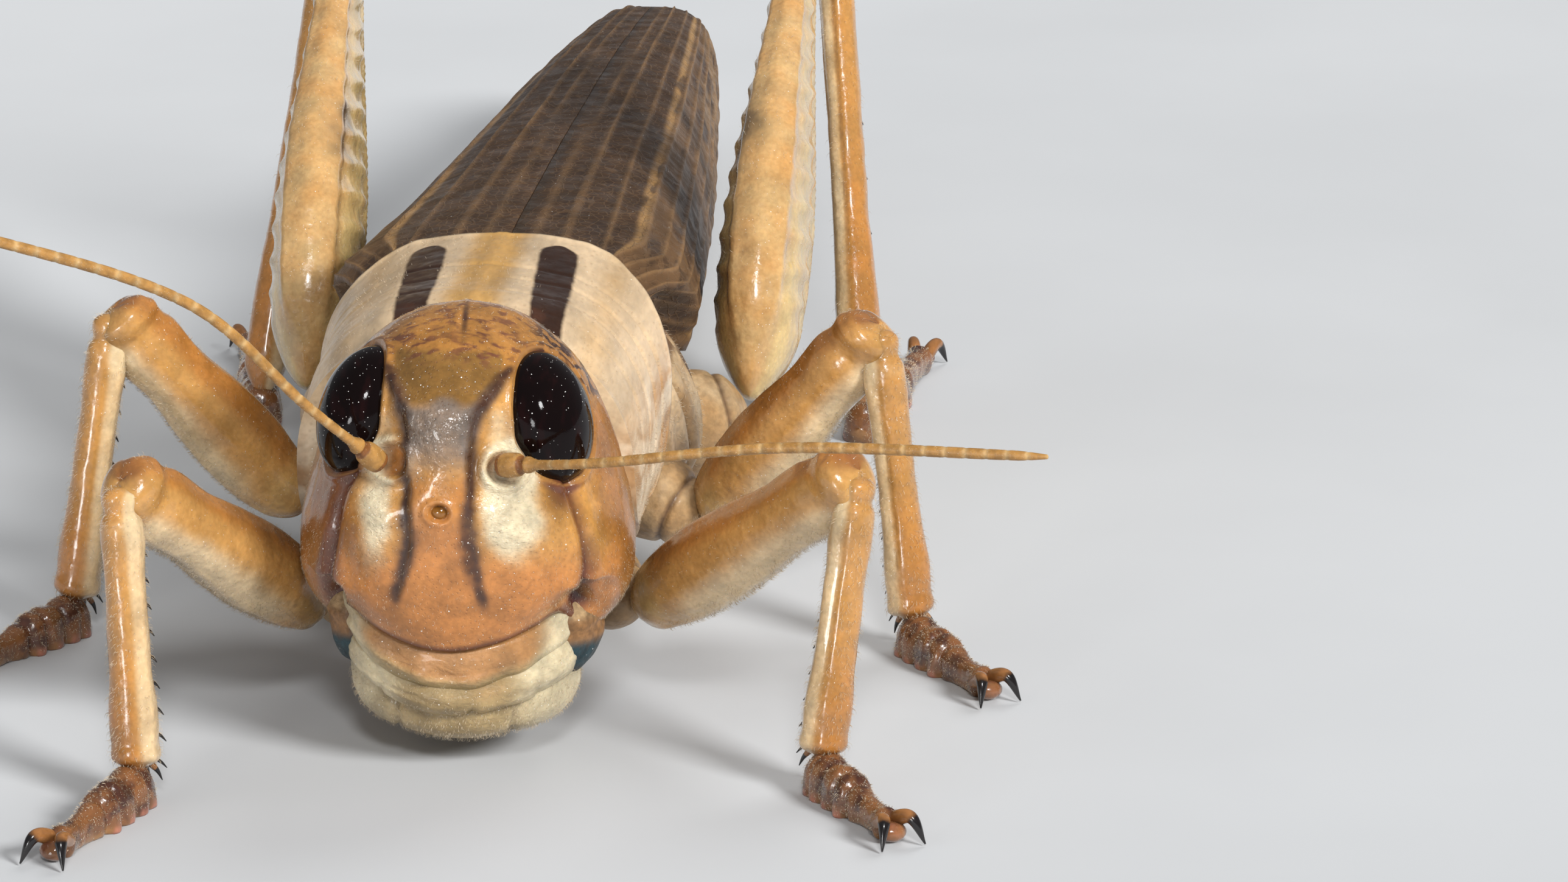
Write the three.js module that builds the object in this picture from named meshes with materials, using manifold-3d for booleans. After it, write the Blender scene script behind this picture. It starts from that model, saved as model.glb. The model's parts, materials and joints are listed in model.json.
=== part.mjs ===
// An adult female migratory locust (Locusta migratoria) at life size, standing on all six feet
// with its wings folded, as a still museum model.
//
// Millimetres, +Z up. The locust faces -Y and its left side is +X. While it is shaped, y = 0 is
// the front ocellus in the middle of the face and z = 0 is the floor; at the end the whole group
// is moved so that its origin lies under the middle of its bounding box.

import * as THREE from 'three';
import { mergeVertices } from 'three/addons/utils/BufferGeometryUtils.js';
import Module from 'manifold-3d';

const wasm = await Module();
wasm.setup();

// ---------------------------------------------------------------- driving dimensions, mm

const GAP = 0.08; // clear space between neighbouring plates
const PLATE = 0.5; // thickness of the wings and of the pronotum shell

const OCELLUS = new THREE.Vector3(0, 0, 7.1); // front ocellus above the floor
const HEAD_PITCH = 7; // degrees, face tipped back
const HEAD_YAW = 3.3; // degrees, face turned to the right side of the locust
const MOUTH_WIDTH = 5.5;
const EYE_SIZE = { wide: 1.15, deep: 1.45, tall: 1.68 }; // half sizes of one compound eye
const EYE_PLACE = { x: 2.2, y: 2.15, z: 2.0 }; // its middle, from the ocellus
const EYE_LEAN = 17; // degrees, the tops of the eyes nearer each other
const EYE_TIP = 14; // degrees, the tops of the eyes further back

const ANTENNA_LENGTH = 14;
const ANTENNA_RADIUS = 0.29;

const PRONOTUM_FRONT = 5.0;
const PRONOTUM_REAR = 14.2;
const THORAX_FRONT = 6.7;
const THORAX_REAR = 20.4;
const ABDOMEN_REAR = 43.2;
const ABDOMEN_RINGS = 8;

const TEGMEN_FRONT = 14.5; // at the ridge
const TEGMEN_SLANT = 1.9; // how much further forward it starts at its lower edge
const TEGMEN_TIP = 61;
const HINDWING_FRONT = 20;
const HINDWING_TIP = 58;
const HINDWING_FOLD = 0.6; // share of the fore wing's section that it lies under

const ANKLE_SINK = 0.12; // the tibia ends this far below the heel point
const FOOT_SINK = 0.62; // and the foot's middle line starts this far below it
const CLAW_LENGTH = 1.1;
const SPINE_LENGTH = 0.75;
const SPINE_RADIUS = 0.16;

// ---------------------------------------------------------------- colours

const COLOURS = {
  face: 0xc98a4a,
  mouth: 0xd2cf9a,
  jaw: 0x54504a,
  eye: 0x1c0f10,
  antenna: 0xb88a4e,
  pronotum: 0xd9c8a2,
  body: 0xc9a878,
  wing: 0x5a4330,
  hindwing: 0x9c8a68,
  leg: 0xc47f43,
  tarsus: 0x8a4a30,
};

// ---------------------------------------------------------------- shaping tools

// Smooth curve through values given at stations, flat past its two ends.
function smooth(stations, values) {
  const last = stations.length - 1;
  const slope = (k) => {
    const a = Math.max(k - 1, 0);
    const b = Math.min(k + 1, last);
    return (values[b] - values[a]) / (stations[b] - stations[a]);
  };
  return (s) => {
    if (s <= stations[0]) return values[0];
    if (s >= stations[last]) return values[last];
    let i = 0;
    while (s > stations[i + 1]) i += 1;
    const h = stations[i + 1] - stations[i];
    const u = (s - stations[i]) / h;
    const rise = u * u * (3 - 2 * u);
    const start = u * (1 - u) * (1 - u) * h * slope(i);
    const end = u * u * (u - 1) * h * slope(i + 1);
    return values[i] * (1 - rise) + values[i + 1] * rise + start + end;
  };
}

// The same with its stations evenly spaced from 0 to 1.
function evenly(values) {
  return smooth(values.map((_, i) => i / (values.length - 1)), values);
}

function ramp(s, low, high) {
  const u = Math.min(Math.max((s - low) / (high - low), 0), 1);
  return u * u * (3 - 2 * u);
}

// One coordinate of a rounded-box outline: the signed power of a cosine or sine.
function rounded(value, squareness) {
  return Math.sign(value) * Math.abs(value) ** (2 / squareness);
}

// Moves every corner of a closed base geometry and returns the result as a manifold solid.
function mould(geometry, place) {
  geometry.deleteAttribute('normal');
  geometry.deleteAttribute('uv');
  const merged = mergeVertices(geometry);
  const position = merged.attributes.position;
  const corner = new THREE.Vector3();
  for (let i = 0; i < position.count; i += 1) {
    corner.fromBufferAttribute(position, i);
    position.setXYZ(i, ...place(corner).toArray());
  }
  const faces = Uint32Array.from(merged.index.array);
  if (signedVolume(position, faces) < 0) {
    for (let i = 0; i < faces.length; i += 3) {
      [faces[i], faces[i + 1]] = [faces[i + 1], faces[i]];
    }
  }
  const mesh = new wasm.Mesh({
    numProp: 3,
    vertProperties: Float32Array.from(position.array),
    triVerts: faces,
  });
  return new wasm.Manifold(mesh);
}

function signedVolume(position, faces) {
  const corners = [new THREE.Vector3(), new THREE.Vector3(), new THREE.Vector3()];
  let total = 0;
  for (let i = 0; i < faces.length; i += 3) {
    corners.forEach((corner, k) => corner.fromBufferAttribute(position, faces[i + k]));
    total += corners[0].dot(corners[1].cross(corners[2])) / 6;
  }
  return total;
}

// A closed body through sections: place(t, angle, r) gives the point at t (0 to 1) along it,
// with r = 0 in the middle of its two end faces and r = 1 on its skin.
function sweep(around, steps, place) {
  const rod = new THREE.CylinderGeometry(1, 1, 1, around, steps);
  return mould(rod, (p) => place(0.5 - p.y, Math.atan2(p.z, p.x), Math.hypot(p.x, p.z)));
}

// A tapering tube along a curve. side is roughly the direction of its width.
function limb(shape, grow = 0) {
  const curve = new THREE.CatmullRomCurve3(shape.path);
  const length = curve.getLength();
  const wide = evenly(shape.wide);
  const deep = evenly(shape.deep ?? shape.wide);
  const square = shape.square ?? 2;
  return sweep(shape.around ?? 8, shape.steps, (t, angle, r) => {
    const centre = curve.getPointAt(t);
    const along = curve.getTangentAt(t);
    centre.addScaledVector(along, (2 * t - 1) * grow * (grow < length ? 1 : 0));
    const across = shape.side.clone().addScaledVector(along, -shape.side.dot(along)).normalize();
    const up = new THREE.Vector3().crossVectors(along, across);
    centre.addScaledVector(across, r * (wide(t) + grow) * rounded(Math.cos(angle), square));
    centre.addScaledVector(up, r * (deep(t) + grow) * rounded(Math.sin(angle), square));
    if (shape.floor) centre.z = Math.max(centre.z, 0);
    return centre;
  });
}

// An egg shape with half sizes, turned about Y (lean) and back about X (tip), round a centre.
function egg({ centre, half, lean = 0, tip = 0, around = 14, rings = 8 }, grow = 0) {
  return mould(new THREE.SphereGeometry(1, around, rings), (p) => {
    p.set(p.x * (half.x + grow), p.z * (half.y + grow), p.y * (half.z + grow));
    p.applyAxisAngle(new THREE.Vector3(0, 1, 0), THREE.MathUtils.degToRad(lean));
    p.applyAxisAngle(new THREE.Vector3(1, 0, 0), -THREE.MathUtils.degToRad(tip));
    return p.add(centre);
  });
}

// From the head's own frame, measured from the ocellus, to the body's frame.
function onHead(p) {
  p.applyAxisAngle(new THREE.Vector3(1, 0, 0), -THREE.MathUtils.degToRad(HEAD_PITCH));
  p.applyAxisAngle(new THREE.Vector3(0, 0, 1), -THREE.MathUtils.degToRad(HEAD_YAW));
  return p.add(OCELLUS);
}

function headEgg(shape, grow = 0) {
  return egg(shape, grow).warp((v) => {
    const p = onHead(new THREE.Vector3(...v));
    [v[0], v[1], v[2]] = p.toArray();
  });
}

function vec(x, y, z) {
  return new THREE.Vector3(x, y, z);
}

// ---------------------------------------------------------------- the model's nodes

const locust = new THREE.Group();

function addNode(name, solid, colour, roughness = 0.5) {
  const mesh = solid.getMesh();
  const geometry = new THREE.BufferGeometry();
  geometry.setAttribute('position', new THREE.BufferAttribute(mesh.vertProperties, 3));
  geometry.setIndex(new THREE.BufferAttribute(mesh.triVerts, 1));
  geometry.computeVertexNormals();
  const material = new THREE.MeshStandardMaterial({ color: colour, roughness, metalness: 0 });
  const node = new THREE.Mesh(geometry, material);
  node.name = name;
  locust.add(node);
}

// ---------------------------------------------------------------- head

// The head capsule as level sections from the mouth opening up to the crown, measured from the
// ocellus: half width, front, widest place and back of each section, and how square it is.
const HEAD_LEVELS = [-3.6, -3.0, -2.4, -1.6, -0.8, 0, 1, 2, 3, 4, 4.35, 4.55];
const atLevel = (values) => smooth(HEAD_LEVELS, values);
const headWide = atLevel([3.0, 3.7, 4.02, 4.13, 4.1, 3.96, 3.7, 3.38, 2.87, 1.83, 1.2, 0.5]);
const headFront = atLevel([0.85, 0.55, 0.35, 0.15, 0.05, 0, 0.05, 0.12, 0.5, 1.6, 2.3, 2.9]);
const headMiddle = atLevel([3.9, 4.0, 4.2, 4.3, 4.3, 4.3, 4.2, 4.0, 3.8, 3.6, 3.5, 3.4]);
const headBack = atLevel([5.3, 5.9, 6.1, 6.2, 6.3, 6.3, 6.3, 6.2, 5.9, 5.0, 4.5, 3.9]);
const headSquare = atLevel([2.4, 2.4, 2.4, 2.3, 2.2, 2.0, 1.8, 1.7, 1.8, 2.0, 2.0, 2.0]);
const FRONS_RISE = 0.13; // how far the lower edge of the face rises to its sides, per mm squared
const FRONS_TOP = -1.6; // level above which the face no longer bends with that edge
const FRONS_DEPTH = [1.8, 3.6]; // over this depth the bend fades out towards the cheeks

function headCapsule(grow = 0) {
  const low = HEAD_LEVELS[0];
  const high = HEAD_LEVELS[HEAD_LEVELS.length - 1];
  return sweep(18, 9, (t, angle, r) => {
    const level = low + (high - low) * Math.sin(t * Math.PI / 2) ** 1.1;
    const end = Math.cos(angle) < 0 ? headFront(level) : headBack(level);
    const reach = Math.abs(end - headMiddle(level));
    const square = headSquare(level);
    const x = r * (headWide(level) + grow) * rounded(Math.sin(angle), square);
    const y = headMiddle(level) + r * (reach + grow) * rounded(Math.cos(angle), square);
    const bend = (1 - ramp(level, low, FRONS_TOP)) * (1 - ramp(y, ...FRONS_DEPTH));
    const lift = FRONS_RISE * x * x * bend;
    return onHead(vec(x, y, level + lift + grow * (2 * t - 1)));
  });
}

const eyeShape = (side) => ({
  centre: vec(side * EYE_PLACE.x, EYE_PLACE.y, EYE_PLACE.z),
  half: vec(EYE_SIZE.wide, EYE_SIZE.deep, EYE_SIZE.tall),
  lean: -side * EYE_LEAN,
  tip: EYE_TIP,
});

// The mouthparts, each an egg whose hidden side is cut by the pieces in front of and above it.
const mouthEgg = (y, z, wide, deep, tall) => ({
  centre: vec(0, y, z),
  half: vec(MOUTH_WIDTH / 2 + wide, deep, tall),
  rings: 6,
});
const clypeusShape = mouthEgg(2.1, -3.75, 0, 1.35, 0.95);
const labrumShape = mouthEgg(2.35, -4.55, 0.05, 1.25, 0.9);
const labiumShape = mouthEgg(3.5, -5.1, 0.3, 1.6, 1.2);
const jawShape = (side) => ({
  centre: vec(side * 2.75, 3.5, -3.75),
  half: vec(0.95, 1.25, 1.05),
  around: 8,
  rings: 6,
});

function palpShape(side, start, knee, tip, radius) {
  const path = [start, knee, tip].map(([x, y, z]) => onHead(vec(side * x, y, z)));
  return {
    path,
    side: vec(0, 1, 0),
    wide: [radius, radius, radius * 0.95, radius * 1.1, radius * 0.7],
    around: 6,
    steps: 4,
  };
}

function makeHead() {
  const eyes = { left: eyeShape(1), right: eyeShape(-1) };
  const capsule = headCapsule()
    .subtract(headEgg(eyes.left, GAP))
    .subtract(headEgg(eyes.right, GAP));
  addNode('head', capsule, COLOURS.face, 0.35);
  addNode('eye_left', headEgg(eyes.left), COLOURS.eye, 0.12);
  addNode('eye_right', headEgg(eyes.right), COLOURS.eye, 0.12);
}

function makeMouth() {
  const head = headCapsule(GAP);
  const clypeus = headEgg(clypeusShape, GAP);
  const upperLip = headEgg(labrumShape, GAP).add(clypeus);
  addNode('clypeus', headEgg(clypeusShape).subtract(head), COLOURS.mouth, 0.4);
  addNode('labrum', headEgg(labrumShape).subtract(clypeus).subtract(head), COLOURS.mouth, 0.4);

  let inTheWay = upperLip.add(head);
  for (const [sideName, side] of [['left', 1], ['right', -1]]) {
    const jaw = headEgg(jawShape(side)).subtract(upperLip).subtract(head);
    addNode(`mandible_${sideName}`, jaw, COLOURS.jaw, 0.3);
    inTheWay = inTheWay.add(headEgg(jawShape(side), GAP));
  }
  addNode('labium', headEgg(labiumShape).subtract(inTheWay), COLOURS.mouth, 0.45);

  inTheWay = inTheWay.add(headEgg(labiumShape, GAP));
  for (const [sideName, side] of [['left', 1], ['right', -1]]) {
    const outer = palpShape(side, [1.9, 4.8, -4.3], [2.6, 5.6, -4.9], [2.5, 5.0, -5.9], 0.3);
    const inner = palpShape(side, [1.0, 4.9, -5.0], [1.4, 5.8, -5.3], [1.3, 5.4, -5.85], 0.27);
    addNode(`maxillary_palp_${sideName}`, limb(outer).subtract(inTheWay), COLOURS.mouth);
    addNode(`labial_palp_${sideName}`, limb(inner).subtract(inTheWay), COLOURS.mouth);
  }
}

// ---------------------------------------------------------------- antennae

const ANTENNA_ROUTES = {
  left: [vec(1.46, 0.45, 8.2), vec(3.9, -0.9, 8.75), vec(8.6, -2, 9.6), vec(15.0, -3.2, 9.9)],
  right: [vec(-1.5, 0.45, 8.2), vec(-3.0, -0.9, 10.0), vec(-5.8, -1.9, 12.9), vec(-11.6, -3.2, 15.1)],
};

function makeAntennae() {
  const grownHead = headCapsule(GAP);
  for (const [sideName, route] of Object.entries(ANTENNA_ROUTES)) {
    const curve = new THREE.CatmullRomCurve3(route);
    const reach = Math.min(1, ANTENNA_LENGTH / curve.getLength());
    const path = route.map((_, i) => curve.getPointAt(reach * i / (route.length - 1)));
    const feeler = limb({
      path,
      side: vec(0, 0, 1),
      wide: [0.5, 0.45, 0.3, ANTENNA_RADIUS, ANTENNA_RADIUS, ANTENNA_RADIUS, 0.27, 0.26, 0.25],
      around: 6,
      steps: 14,
    });
    addNode(`antenna_${sideName}`, feeler.subtract(grownHead), COLOURS.antenna);
  }
}

// ---------------------------------------------------------------- pronotum and thorax

const PRONOTUM_STATIONS = [PRONOTUM_FRONT, 7, 9.5, 12, PRONOTUM_REAR];
const pronotumWide = smooth(PRONOTUM_STATIONS, [4.15, 4.3, 4.35, 4.55, 4.8]);
const pronotumTop = smooth(PRONOTUM_STATIONS, [10.1, 10.4, 10.2, 10.05, 9.95]);
const PRONOTUM_MIDDLE = 6.3; // height of its widest place
const PRONOTUM_BASE = 1.6; // where the full section would close under the body

const THORAX_STATIONS = [THORAX_FRONT, 8, 10, 12, 14, 16, 18, THORAX_REAR];
const thoraxWide = smooth(THORAX_STATIONS, [2.5, 3.3, 3.6, 3.75, 4.5, 4.95, 4.5, 3.8]);
const thoraxTop = smooth(THORAX_STATIONS, [9.0, 9.4, 9.4, 9.2, 8.9, 8.5, 8.0, 7.5]);
const thoraxMiddle = smooth(THORAX_STATIONS, [6.0, 5.9, 5.6, 5.0, 4.4, 4.0, 4.0, 4.4]);
const thoraxLow = smooth(THORAX_STATIONS, [3.6, 2.7, 2.2, 2.0, 1.8, 1.7, 1.8, 2.1]);

// A length of trunk between two places on Y, from its half width, top, middle and low heights.
function trunk({ from, to, wide, top, middle, low, square, around, steps }, grow = 0) {
  return sweep(around, steps, (t, angle, r) => {
    const y = from + (to - from) * t;
    const reach = Math.sin(angle) > 0 ? top(y) - middle(y) : middle(y) - low(y);
    const x = r * (wide(y) + grow) * rounded(Math.cos(angle), square);
    const z = middle(y) + r * (reach + grow) * rounded(Math.sin(angle), square);
    return vec(x, y + grow * (2 * t - 1), z);
  });
}

const thoraxShape = {
  from: THORAX_FRONT,
  to: THORAX_REAR,
  wide: thoraxWide,
  top: thoraxTop,
  middle: thoraxMiddle,
  low: thoraxLow,
  square: 2.1,
  around: 16,
  steps: 8,
};

const pronotumShape = {
  from: PRONOTUM_FRONT - 1,
  to: PRONOTUM_REAR + 1,
  wide: pronotumWide,
  top: pronotumTop,
  middle: () => PRONOTUM_MIDDLE,
  low: () => PRONOTUM_BASE,
  square: 2.4,
  around: 18,
  steps: 5,
};

// The pronotum seen from the side, as (y, z): a saddle with a lobe hanging down each side.
function pronotumOutline() {
  const outline = new THREE.Shape();
  outline.moveTo(PRONOTUM_FRONT, 11.5);
  outline.lineTo(PRONOTUM_FRONT, 8.5);
  outline.quadraticCurveTo(PRONOTUM_FRONT + 0.1, 6.4, PRONOTUM_FRONT + 0.9, 5.2);
  outline.quadraticCurveTo(7.4, 4.3, 8.8, 3.6);
  outline.quadraticCurveTo(10.6, 3.3, 11.3, 4.4);
  outline.quadraticCurveTo(11.8, 6.6, 12.6, 8.4);
  outline.quadraticCurveTo(13.6, 9.4, PRONOTUM_REAR, 9.8);
  outline.lineTo(PRONOTUM_REAR, 11.5);
  return outline;
}

function makePronotum() {
  const halfSpan = 6;
  const block = new THREE.ExtrudeGeometry(pronotumOutline(), {
    depth: 2 * halfSpan,
    bevelEnabled: false,
    curveSegments: 3,
  });
  const profile = mould(block, (p) => vec(p.z - halfSpan, p.x, p.y));
  const shell = trunk(pronotumShape)
    .subtract(trunk(pronotumShape, -PLATE))
    .intersect(profile)
    .subtract(trunk(thoraxShape, GAP))
    .subtract(headCapsule(GAP));
  addNode('pronotum', shell, COLOURS.pronotum, 0.45);
}

// ---------------------------------------------------------------- abdomen

const ABDOMEN_STATIONS = [THORAX_REAR, 24, 30, 36, 40, ABDOMEN_REAR];
const abdomenWide = smooth(ABDOMEN_STATIONS, [3.4, 3.45, 3.1, 2.6, 2.15, 1.6]);
const abdomenTop = smooth(ABDOMEN_STATIONS, [7.4, 7.4, 6.9, 6.1, 5.4, 4.4]);
const abdomenLow = smooth(ABDOMEN_STATIONS, [2.0, 1.6, 1.3, 1.1, 1.05, 1.3]);
const abdomenMiddle = (y) => (abdomenTop(y) + abdomenLow(y)) / 2;
const RING_FLARE = 0.12; // each ring widens to its rear edge

function makeAbdomen() {
  const ringLength = (ABDOMEN_REAR - THORAX_REAR) / ABDOMEN_RINGS;
  for (let i = 0; i < ABDOMEN_RINGS; i += 1) {
    const from = THORAX_REAR + GAP + i * ringLength;
    const flare = (y) => RING_FLARE * ((y - from) / ringLength - 0.5);
    const ring = trunk({
      from,
      to: from + ringLength - GAP,
      wide: (y) => abdomenWide(y) + flare(y),
      top: (y) => abdomenTop(y) + flare(y),
      middle: abdomenMiddle,
      low: (y) => abdomenLow(y) - flare(y),
      square: 2.1,
      around: 14,
      steps: 2,
    });
    addNode(`abdomen_ring_${i + 1}`, ring, COLOURS.body);
  }
}

// The tip of the abdomen: a small plate over the vent, a cercus each side and the four short
// hooked valves of the ovipositor, all one piece.
function makeAbdomenTip() {
  const start = ABDOMEN_REAR + GAP;
  const valveLength = 2.6;
  let tip = limb({
    path: [vec(0, start, 2.85), vec(0, start + 1.5, 2.85)],
    side: vec(1, 0, 0),
    wide: [1.45, 1.2, 0.7],
    deep: [1.35, 1.1, 0.6],
    around: 8,
    steps: 2,
  });
  for (const side of [-1, 1]) {
    tip = tip.add(limb({
      path: [vec(side * 0.9, start + 0.4, 3.1), vec(side * 1.45, start + 1.7, 3.15)],
      side: vec(0, 0, 1),
      wide: [0.35, 0.3, 0.25],
      around: 5,
      steps: 1,
    }));
    for (const lift of [-1, 1]) {
      tip = tip.add(limb({
        path: [
          vec(side * 0.4, start + 0.6, 2.6 + lift * 0.3),
          vec(side * 0.42, start + valveLength * 0.7, 2.55 + lift * 0.32),
          vec(side * 0.45, start + valveLength, 2.5 + lift * 0.75),
        ],
        side: vec(1, 0, 0),
        wide: [0.45, 0.38, 0.25],
        deep: [0.35, 0.28, 0.22],
        around: 5,
        steps: 2,
      }));
    }
  }
  addNode('abdomen_tip', tip, COLOURS.body);
}

// ---------------------------------------------------------------- wings

// Each wing is a thin plate folded round the body like half a roof: at every y its section runs
// from the ridge over the back out to its side and down. The fore wing goes on to its lower
// edge; the folded hind wing lies under it and ends higher up.
const WING_STATIONS = [TEGMEN_FRONT, 18, 24, 30, 37, 44, 52, 58, TEGMEN_TIP];
const wingWide = smooth(WING_STATIONS, [5.0, 4.85, 4.45, 4.1, 3.7, 3.2, 2.6, 2.0, 1.1]);
const wingTop = smooth(WING_STATIONS, [9.5, 9.3, 8.8, 8.3, 7.6, 6.9, 5.9, 5.0, 4.2]);
const wingLow = smooth(WING_STATIONS, [7.2, 5.7, 4.2, 3.2, 2.4, 1.9, 1.6, 2.0, 3.0]);
const WING_SQUARE = 3.2;
const TEGMEN = {
  from: TEGMEN_FRONT,
  to: TEGMEN_TIP,
  slant: TEGMEN_SLANT,
  under: 0,
  fold: 1,
  across: 6,
  steps: 10,
};
const HINDWING = {
  from: HINDWING_FRONT,
  to: HINDWING_TIP,
  slant: 0,
  under: PLATE + 3 * GAP,
  fold: HINDWING_FOLD,
  across: 4,
  steps: 7,
};

function wingPlate(side, { from, to, slant, under, fold, across, steps }) {
  const sheet = new THREE.BoxGeometry(1, 1, 1, across, steps, 1);
  return mould(sheet, (p) => {
    const start = from - slant * ramp(p.x + 0.5, 0.1, 0.9);
    const y = start + (to - start) * (p.y + 0.5);
    const turn = (p.x + 0.5) * fold * Math.PI / 2;
    const inset = under + (0.5 - p.z) * PLATE;
    const x = GAP + (wingWide(y) - inset - GAP) * rounded(Math.sin(turn), WING_SQUARE);
    const drop = wingTop(y) - wingLow(y);
    const z = wingLow(y) + (drop - inset) * rounded(Math.cos(turn), WING_SQUARE);
    return vec(side * x, y, z);
  });
}

function makeWings() {
  for (const [sideName, side] of [['left', 1], ['right', -1]]) {
    addNode(`tegmen_${sideName}`, wingPlate(side, TEGMEN), COLOURS.wing, 0.55);
    addNode(`hindwing_${sideName}`, wingPlate(side, HINDWING), COLOURS.hindwing, 0.6);
  }
}

// ---------------------------------------------------------------- legs

// Joint places of each leg: the coxa's root and end, the knee, the heel and the toe. The fore
// legs differ a little, as the locust has just set them down; the others are mirror images.
const LEGS = [
  {
    name: 'fore_leg_right',
    jumps: false,
    side: -1,
    root: vec(-2.4, 8.4, 3.1),
    hip: vec(-3.7, 6.2, 2.3),
    knee: vec(-7.77, 0, 7.72),
    heel: vec(-7.3, -1.5, 1.0),
    toe: vec(-8.6, -5.2, 0.32),
  },
  {
    name: 'fore_leg_left',
    jumps: false,
    side: 1,
    root: vec(2.4, 8.4, 3.1),
    hip: vec(4.1, 6.4, 2.4),
    knee: vec(10.0, 2, 7.75),
    heel: vec(9.2, 0.5, 1.0),
    toe: vec(11.0, -2.6, 0.32),
  },
];
for (const side of [-1, 1]) {
  const sideName = side < 0 ? 'right' : 'left';
  LEGS.push({
    name: `mid_leg_${sideName}`,
    jumps: false,
    side,
    root: vec(side * 3.4, 14.2, 3.2),
    hip: vec(side * 5.2, 13.6, 2.4),
    knee: vec(side * 9.9, 12, 8.4),
    heel: vec(side * 10.9, 10.6, 1.0),
    toe: vec(side * 12.9, 7.4, 0.32),
  });
  LEGS.push({
    name: `hind_leg_${sideName}`,
    jumps: true,
    side,
    root: vec(side * 3.9, 18.4, 3.4),
    hip: vec(side * 6.0, 19.2, 3.7),
    knee: vec(side * 6.7, 38.4, 17.6),
    heel: vec(side * 8.6, 28.2, 1.1),
    toe: vec(side * 9.9, 35.0, 0.36),
  });
}

// Half widths and depths along each part, from the body outwards. A foot's width is upright.
const WALKING_LEG = {
  coxa: { wide: [0.95, 1.2, 1.05, 0.7] },
  femur: {
    wide: [0.55, 0.85, 0.95, 0.9, 0.8, 0.75, 0.5],
    deep: [0.6, 0.95, 1.1, 1.05, 0.9, 0.95, 0.6],
    steps: 6,
  },
  tibia: { wide: [0.4, 0.55, 0.5, 0.5, 0.52, 0.6, 0.5], steps: 5 },
  tarsus: {
    wide: [0.6, 0.75, 0.66, 0.72, 0.6, 0.42, 0.38, 0.4],
    deep: [0.42, 0.55, 0.48, 0.52, 0.46, 0.3, 0.28, 0.32],
  },
  spines: { from: 0.45, count: 5, rows: [-1.2] },
};
const JUMPING_LEG = {
  coxa: { wide: [1.3, 1.5, 1.3, 0.8] },
  femur: {
    wide: [0.7, 1.15, 1.25, 1.2, 1.0, 0.8, 0.65, 0.6, 0.7, 0.75, 0.5],
    deep: [1.0, 2.1, 2.75, 2.75, 2.4, 1.9, 1.4, 1.1, 1.15, 1.25, 0.7],
    steps: 8,
  },
  tibia: {
    wide: [0.5, 0.7, 0.55, 0.5, 0.5, 0.52, 0.62, 0.5],
    deep: [0.55, 0.8, 0.65, 0.6, 0.6, 0.6, 0.7, 0.5],
    steps: 6,
  },
  tarsus: {
    wide: [0.65, 0.8, 0.7, 0.75, 0.6, 0.45, 0.4, 0.42],
    deep: [0.5, 0.62, 0.55, 0.56, 0.5, 0.36, 0.32, 0.36],
  },
  spines: { from: 0.22, count: 9, rows: [-0.75, 0.75] },
};

function legShapes(leg) {
  const sizes = leg.jumps ? JUMPING_LEG : WALKING_LEG;
  const level = vec(0, 0, 1).cross(leg.knee.clone().sub(leg.hip)).normalize();
  const flat = leg.jumps ? vec(leg.side, 0, 0) : level;
  const start = leg.hip.clone().lerp(leg.knee, 0.02);
  const bend = leg.knee.clone().lerp(leg.heel, 0.07);
  const ankle = leg.heel.clone().setZ(leg.heel.z - ANKLE_SINK);
  const foot = leg.heel.clone().lerp(leg.toe, -0.06).setZ(leg.heel.z - FOOT_SINK);
  const middle = foot.clone().lerp(leg.toe, 0.5);
  return {
    coxa: { path: [leg.root, leg.hip], side: vec(0, 0, 1), steps: 3, around: 7, ...sizes.coxa },
    femur: { path: [start, leg.knee], side: flat, around: 8, ...sizes.femur },
    tibia: { path: [bend, ankle], side: flat, around: 6, ...sizes.tibia },
    tarsus: {
      path: [foot, middle, leg.toe],
      side: vec(0, 0, 1),
      steps: 5,
      around: 6,
      square: 2.6,
      floor: true,
      ...sizes.tarsus,
    },
    spines: sizes.spines,
  };
}

// One thin cone from a root point, its base sunk a little into what it grows from.
function thorn(root, direction, length, radius) {
  const turn = new THREE.Quaternion().setFromUnitVectors(vec(0, 1, 0), direction);
  return mould(new THREE.ConeGeometry(radius, length, 3, 1), (p) => {
    p.y += length / 2;
    return p.applyQuaternion(turn).add(root);
  });
}

// Rows of spines down the back of a tibia. Each row says how far it stands to the outer side.
function addSpines(tibia, leg, shape, { from, count, rows }) {
  const wide = evenly(shape.wide);
  const [knee, ankle] = shape.path;
  const along = ankle.clone().sub(knee).normalize();
  const outward = vec(leg.side, 0, 0).addScaledVector(along, -leg.side * along.x).normalize();
  const behind = new THREE.Vector3().crossVectors(along, outward);
  if (behind.y < 0) behind.negate();
  let result = tibia;
  for (const row of rows) {
    const away = behind.clone().addScaledVector(outward, row).normalize();
    const lean = away.clone().addScaledVector(along, 0.6).normalize();
    for (let i = 0; i < count; i += 1) {
      const t = from + (0.96 - from) * i / (count - 1);
      const root = knee.clone().lerp(ankle, t).addScaledVector(away, 0.6 * wide(t));
      result = result.add(thorn(root, lean, SPINE_LENGTH, SPINE_RADIUS));
    }
  }
  return result;
}

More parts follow.
